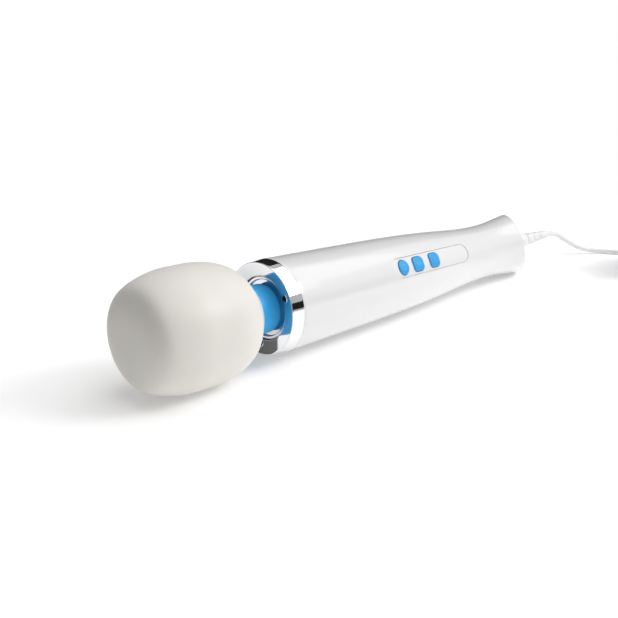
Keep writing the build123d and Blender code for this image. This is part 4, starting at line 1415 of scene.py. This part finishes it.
@dataclass
class Handle:
    """Both shells, the control panel and the tail cap.

    Attributes:
        wand: The wand's frame.
        form: The handle's outer surface.
        wall: Thickness of the shells, as drawn.
        edge: Rounding of the tail's rim.
        rim: Width of the rim's flat face.
        pocket: Radius of the plug's pocket.
        pocket_floor: Where the pocket's floor is.
    """

    wand: WandFrame
    form: HandleForm
    wall: float = 0.8
    edge: float = 1.0
    rim: float = 1.5
    pocket: float = 7.2
    pocket_floor: float = 231.0

    def stops(self, windows: Sequence[Window], last: float) -> list[float]:
        """Places along the handle that every lengthwise line shares, with the windows' ends among them."""
        marks = sorted({self.form.front + 0.3, last, *(w.front for w in windows), *(w.back for w in windows)})
        line = [marks[0]]
        for a, b in zip(marks, marks[1:]):
            parts = max(1, math.ceil((b - a) / 2.0))
            line += [a + (b - a) * i / parts for i in range(1, parts + 1)]
        return line

    def line(self, turn: float, inset: float, stops: Sequence[float]) -> list[Point3]:
        """One lengthwise line of a shell, from the collar round the tail's rim.

        Args:
            turn: Its place round the axis, in degrees from the button side.
            inset: How far it is moved inwards.
            stops: Shared places along the handle.

        Returns:
            Its points.
        """
        form, angle = self.form, math.radians(turn)
        r0 = form.radius(form.front) - inset
        profile = [(form.front + 0.04, r0 - 0.3), (form.front + 0.08, r0 - 0.08)]
        profile += [(x, form.radius(x) - inset) for x in stops]
        end = form.end(angle, inset)
        corner = Vector((end, form.radius(end) - inset))
        slope = form.radius(end + 0.5) - form.radius(end - 0.5)
        along = Vector((-1.0, -slope)).normalized() * self.edge
        inwards = Vector((math.cos(angle) * math.tan(math.radians(form.slant)), -1.0)).normalized()
        first = (corner + along).x
        for i in range(1, 25):
            x = stops[-1] + (first - stops[-1]) * i / 24
            profile.append((x, form.radius(x) - inset))
        for i in range(1, 7):
            t = i / 6
            spot = (corner + along) * (1 - t) ** 2 + corner * 2 * t * (1 - t)
            spot += (corner + inwards * self.edge) * t * t
            profile.append((spot.x, spot.y))
        for share in (0.5, 1.0):
            spot = corner + inwards * (self.edge + self.rim * share)
            profile.append((spot.x, spot.y))
        return [on_circle(x, r, angle) for x, r in profile]

    def shell(self, name: str, node: str, middle: int, last: float,
              windows: Sequence[Window]) -> bpy.types.Object:
        """One half of the handle with its openings.

        Args:
            name: The piece's name.
            node: The CAD node that it stands for.
            middle: Turn of its middle, in degrees from the button side.
            last: Last place that all lengthwise lines share.
            windows: Its openings.

        Returns:
            The object.
        """
        seam = [(89.85, 0.22), (89.6, 0.07), (89.1, 0.0)]
        turns = [(-t, inset) for t, inset in seam] + [(float(t), 0.0) for t in range(-88, 89, 2)]
        turns += [(t, inset) for t, inset in reversed(seam)]
        stops = self.stops(windows, last)
        skin = Skin(self.wand.at)
        rows = [skin.row(self.line(middle + turn, inset, stops)) for turn, inset in turns]
        open_cells = [self._cells(window, turns, stops, middle) for window in windows]
        for i, (first, second) in enumerate(zip(rows, rows[1:])):
            for j in range(len(first) - 1):
                if not any(a <= i < b and c <= j < d for a, b, c, d in open_cells):
                    skin.faces.append((first[j], first[j + 1], second[j + 1], second[j]))
        for window, (a, b, c, d) in zip(windows, open_cells):
            cells = [(a, j) for j in range(c, d)] + [(i, d) for i in range(a, b)]
            cells += [(b, j) for j in range(d, c, -1)] + [(i, c) for i in range(b, a, -1)]
            self._fill(skin, [rows[i][j] for i, j in cells],
                       [self._flat(turns[i][0] + middle, stops[j - 2]) for i, j in cells], window)
        made = skin.piece(name, GLOSS_WHITE, crease=40, wall=self.wall)
        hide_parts(node)
        return made

    def _cells(self, window: Window, turns: Sequence[tuple[float, float]], stops: Sequence[float],
               middle: int) -> tuple[int, int, int, int]:
        """First and last row and column of the grid's cells that a window leaves out."""
        angles = [turn + middle for turn, _ in turns]
        first = angles.index(window.turn - window.half_turn)
        last = angles.index(window.turn + window.half_turn)
        return first, last, stops.index(window.front) + 2, stops.index(window.back) + 2

    def _flat(self, turn: float, x: float) -> Point2:
        """Place (x, y) of a point of the surface seen along the way the buttons face."""
        return x, self.form.radius(x) * math.sin(math.radians(turn))

    def _fill(self, skin: Skin, edge: Sequence[int], spots: Sequence[Point2], window: Window) -> None:
        """Fills a window round its opening, rounds the opening's edge and gives it a wall.

        Args:
            skin: The shell.
            edge: Numbers of the points round the window.
            spots: Their places (x, y).
            window: The window.
        """
        side = 1 if window.turn == 0 else -1
        hole, bevel = window.opening, window.bevel
        loops = []
        for share in (0.25, 0.5, 0.72, 0.88):
            loop = []
            for x, y in spots:
                hx, hy = hole.nearest((x, y), bevel)
                loop.append((x + (hx - x) * share, y + (hy - y) * share, 0.0))
            loops.append(loop)
        for grow, depth in ((bevel, 0.0), (bevel * 0.3, bevel * 0.2), (0.0, bevel), (0.0, window.wall)):
            loops.append([(*hole.nearest(spot, grow), depth) for spot in spots])
        last = list(edge)
        for loop in loops:
            lifted = [(x, y, self.form.above(x, y, 0.0, side) - side * depth) for x, y, depth in loop]
            numbers = skin.row(lifted)
            skin.bridge(last, numbers, True)
            last = numbers

    def tail_cap(self) -> bpy.types.Object:
        """Slanted end cover with the plug's round pocket."""
        form, pocket = self.form, self.pocket
        rows: list[list[Point3]] = []
        turns = [math.radians(3 * i) for i in range(120)]
        inset = self.wall + self.edge + self.rim - 0.75
        for step, drop in ((0.12, 2.2), (0.12, 0.35), (0.2, 0.2), (0.4, 0.12)):
            row = []
            for t in turns:
                r = form.radius(form.end(t, inset)) - inset - step
                row.append(on_circle(form.on_end(t, r) - drop, r, t))
            rows.append(row)
        outer = rows[-1]
        for share in (0.25, 0.5, 0.75, 1.0):
            row = []
            for t, (x, y, z) in zip(turns, outer):
                r = math.hypot(y, z) + (pocket + 0.6 - math.hypot(y, z)) * share
                row.append(on_circle(form.on_end(t, r) - 0.12, r, t))
            rows.append(row)
        for grow, drop in ((0.15, 0.25), (0.0, 0.7), (0.0, None), (-1.6, None)):
            row = []
            for t in turns:
                r = pocket + grow
                x = self.pocket_floor if drop is None else form.on_end(t, r) - drop
                row.append(on_circle(x, r, t))
            rows.append(row)
        skin = Skin(self.wand.at)
        skin.strip(rows, True)
        made = skin.piece("tail_cover", GLOSS_WHITE, crease=40, wall=0.6)
        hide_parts("tail_cap")
        return made

    def build(self) -> None:
        """Makes the shells and the tail cap."""
        slot = Outline(PANEL_MIDDLE, PANEL_HALF, 0.0, 5.9)
        top = [Window(slot, 80.0, 167.0, half_turn=24, turn=0, bevel=0.22, wall=1.3)]
        screws = [Window(Outline(x, 0.0, 0.0, 2.5), x - 5.0, x + 5.0, half_turn=14, turn=180,
                         bevel=0.3, wall=5.0) for x in self.screw_places()]
        pieces = [self.shell("upper_shell", "button_shell", 0, 190.0, top),
                  self.shell("lower_shell", "rear_shell", 180, 226.0, screws), self.tail_cap()]
        for piece in pieces:
            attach(piece, "handle")
            log.info("made %s", piece.name)

    def screw_places(self) -> list[float]:
        """Places of the two shell screws along the handle."""
        size, head = self.wand.measure("shell_screws"), 2.4
        return [size.front + head, size.back - head]


# ---- controls --------------------------------------------------------------------------------------
class Mark(Enum):
    """Plain mark on a button."""

    RING = "ring"
    WAVE = "wave"
    BAR = "bar"


@dataclass
class Controls:
    """Inset panel and the three buttons.

    Attributes:
        wand: The wand's frame.
        form: The handle's outer surface.
        recess: How deep the panel lies.
        gap: Room round each button.
        proud: How far a button stands out of the handle.
        bevel: Rounding of a button's edge.
    """

    wand: WandFrame
    form: HandleForm
    recess: float = 0.35
    gap: float = 0.3
    proud: float = 0.35
    bevel: float = 0.55

    MARKS = (("power_button", Mark.RING), ("pattern_button", Mark.WAVE), ("speed_button", Mark.BAR))

    def outlines(self) -> list[tuple[str, Outline, Mark]]:
        """Node, outline and mark of each button."""
        corner, length, width = 2.5, 9.9, 8.6
        made = []
        for node, mark in self.MARKS:
            x = self.wand.measure(node).middle
            if mark is Mark.RING:
                made.append((node, Outline(x, 0.0, 0.0, 4.45), mark))
            else:
                made.append((node, Outline(x, length / 2 - corner, width / 2 - corner, corner), mark))
        return made

    def panel(self) -> bpy.types.Object:
        """Inset panel with its three holes."""
        body = Outline(PANEL_MIDDLE, PANEL_HALF, 0.0, 5.8)
        front, rear = body.x - body.half_length, body.x + body.half_length
        holes = [Outline(o.x, o.half_length, o.half_width, o.radius + self.gap)
                 for _, o, _ in self.outlines()]
        cuts = [front, (holes[0].x + holes[1].x) / 2, (holes[1].x + holes[2].x) / 2, holes[2].x + 8.0, rear]
        slit = Outline((cuts[3] + rear) / 2 + 2.0, (rear - cuts[3]) / 2 - 2.0, 0.0, 0.0)
        skin = Skin(self.wand.at)
        for i, hole in enumerate([*holes, slit]):
            loop = self._region(body, cuts[i], cuts[i + 1], i == 0, i == 3)
            bevel = 0.12 if hole.radius else 0.0
            loops = [[(x, y, 0.0) for x, y in loop]]
            for share in (0.02, 0.05, 0.09, 0.3, 0.6, 0.85):
                ring = []
                for x, y in loop:
                    hx, hy = hole.nearest((x, y), bevel)
                    ring.append((x + (hx - x) * share, y + (hy - y) * share, 0.0))
                loops.append(ring)
            ends = ((bevel, 0.0), (0.0, bevel), (0.0, 0.6)) if hole.radius else ((0.0, 0.0),)
            loops += [[(*hole.nearest(spot, grow), depth) for spot in loop] for grow, depth in ends]
            skin.strip([[self._on_panel(body, *point) for point in ring] for ring in loops], True)
        made = skin.piece("control_strip", PANEL_WHITE, crease=40, wall=0.8)
        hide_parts("control_panel")
        return made

    def _region(self, body: Outline, x0: float, x1: float, first: bool, last: bool) -> list[Point2]:
        """Edge of the panel's part from x0 to x1, with a round end if it is the first or last part."""
        half, across, along = body.radius, 12, 12
        line = [(x0 + (x1 - x0) * i / along, -half) for i in range(along)]
        if last:
            turns = [math.pi * (i / 24 - 0.5) for i in range(24)]
            line += [(x1 + half * math.cos(t), half * math.sin(t)) for t in turns]
        else:
            line += [(x1, half * (2 * i / across - 1)) for i in range(across)]
        line += [(x1 + (x0 - x1) * i / along, half) for i in range(along)]
        if first:
            turns = [math.pi * (i / 24 + 0.5) for i in range(24)]
            line += [(x0 + half * math.cos(t), half * math.sin(t)) for t in turns]
        else:
            line += [(x0, half * (1 - 2 * i / across)) for i in range(across)]
        return line

    def _on_panel(self, body: Outline, x: float, y: float, depth: float) -> Point3:
        """Point of the panel's face, rounded down near its edge."""
        core = min(max(x, body.x - body.half_length), body.x + body.half_length)
        inside = body.radius - math.hypot(x - core, y)
        soft = 0.35
        short = min(max(soft - inside, 0.0), soft)
        drop = soft - math.sqrt(soft * soft - short * short)
        return x, y, self.form.above(x, y, -self.recess) - drop * 0.8 - depth

    def button(self, node: str, outline: Outline, mark: Mark) -> list[bpy.types.Object]:
        """One button with its mark.

        Args:
            node: The CAD node that it stands for.
            outline: Its outline.
            mark: Its mark.

        Returns:
            The button and the mark.
        """
        def lifted(x: float, y: float, depth: float) -> Point3:
            """Point of the button's top, moved down by depth."""
            return x, y, self.form.above(x, y, self.proud) - depth

        rows = [[lifted(*outline.nearest(s, 0.0), 4.5) for s in outline.loop(0.0, 14)]]
        rows.insert(0, [(outline.x, 0.0, rows[0][0][2])] * len(rows[0]))
        for i in range(7):
            turn = math.pi / 2 * i / 6
            grow, depth = -self.bevel * (1 - math.cos(turn)), self.bevel * (1 - math.sin(turn))
            rows.append([lifted(*spot, depth) for spot in outline.loop(grow, 14)])
        top = outline.loop(-self.bevel, 14)
        for share in (0.88, 0.7, 0.5, 0.3, 0.12, 0.0):
            rows.append([lifted(outline.x + (x - outline.x) * share, y * share, 0.0) for x, y in top])
        skin = Skin(self.wand.at)
        skin.strip(rows, True)
        made = skin.piece(node.replace("_button", "_key"), SOFT_BLUE, crease=50)
        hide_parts(node)
        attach(made, node)
        drawn = self.mark(node, outline, mark)
        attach(drawn, node)
        return [made, drawn]

    def mark(self, node: str, outline: Outline, mark: Mark) -> bpy.types.Object:
        """Thin raised mark on a button.

        Args:
            node: The button's node.
            outline: The button's outline.
            mark: Which mark.

        Returns:
            The object.
        """
        steps, half = 40, 0.2
        if mark is Mark.RING:
            path = [(1.6 * math.cos(2 * math.pi * i / steps), 1.6 * math.sin(2 * math.pi * i / steps))
                    for i in range(steps)]
        elif mark is Mark.WAVE:
            path = [(4.4 * i / steps - 2.2, 0.9 * math.sin(4 * math.pi * i / steps))
                    for i in range(steps + 1)]
        else:
            path = [(0.0, 3.6 * i / steps - 1.8) for i in range(steps + 1)]
        closed = mark is Mark.RING
        rows = []
        for i, (x, y) in enumerate(path):
            before = path[i - 1] if closed or i else path[0]
            after = path[(i + 1) % len(path)] if closed or i < len(path) - 1 else path[-1]
            away = Vector((before[1] - after[1], after[0] - before[0])).normalized() * half
            row = []
            for side, lift in ((1, -0.1), (1, 0.03), (0.7, 0.045), (-0.7, 0.045), (-1, 0.03), (-1, -0.1)):
                px, py = outline.x + x + away.x * side, y + away.y * side
                row.append((px, py, self.form.above(px, py, self.proud + lift)))
            rows.append(row)
        skin = Skin(self.wand.at)
        skin.strip(rows, True, loop=closed)
        if not closed:
            skin.faces += [tuple(range(len(rows[0]))), tuple(range(len(skin.points) - 6, len(skin.points)))]
        return skin.piece(f"{node.replace('_button', '')}_mark", MARK_BLUE, crease=50)

    def build(self) -> None:
        """Makes the panel and the buttons."""
        panel = self.panel()
        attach(panel, "handle")
        pieces = [panel]
        for node, outline, mark in self.outlines():
            pieces += self.button(node, outline, mark)
        for piece in pieces:
            log.info("made %s", piece.name)


# ---- inner works -----------------------------------------------------------------------------------
@dataclass(frozen=True)
class Works:
    """The inner pieces, which keep their CAD shapes and get their finishes."""

    finishes: tuple[Finish, ...] = (
        CORE, STEEL, BLACK_OXIDE, FERRITE, BRONZE, COPPER, BLACK_RUBBER, GREEN_BOARD, BRIGHT_METAL, CELL_WRAP,
        SOFT_CREAM, SOFT_BLUE, GLOSS_WHITE, CHROME, LEAD_WHITE, TIE_WHITE, ADAPTER_WHITE)

    def build(self) -> None:
        """Dresses every CAD node by its slot in the record."""
        by_slot = {finish.slot: finish for finish in self.finishes}
        for part in frame["record"]["subparts"]:
            node = frame["nodes"][part["node"]]
            node.data.materials.clear()
            node.data.materials.append(by_slot[part["material_slot"]].material())
            log.info("dressed %s", part["node"])


def main() -> None:
    """Builds the camera and the lead first, then the rest."""
    logging.basicConfig(level=logging.INFO, format="%(name)s: %(message)s")
    wand = WandFrame.from_joints()
    form = HandleForm()
    Studio(wand).build()
    ChargingLead(wand).build()
    Works().build()
    Head(wand).build()
    Neck(wand).build()
    Collar(wand).build()
    Handle(wand, form).build()
    Controls(wand, form).build()


if __name__ == "__main__":
    main()
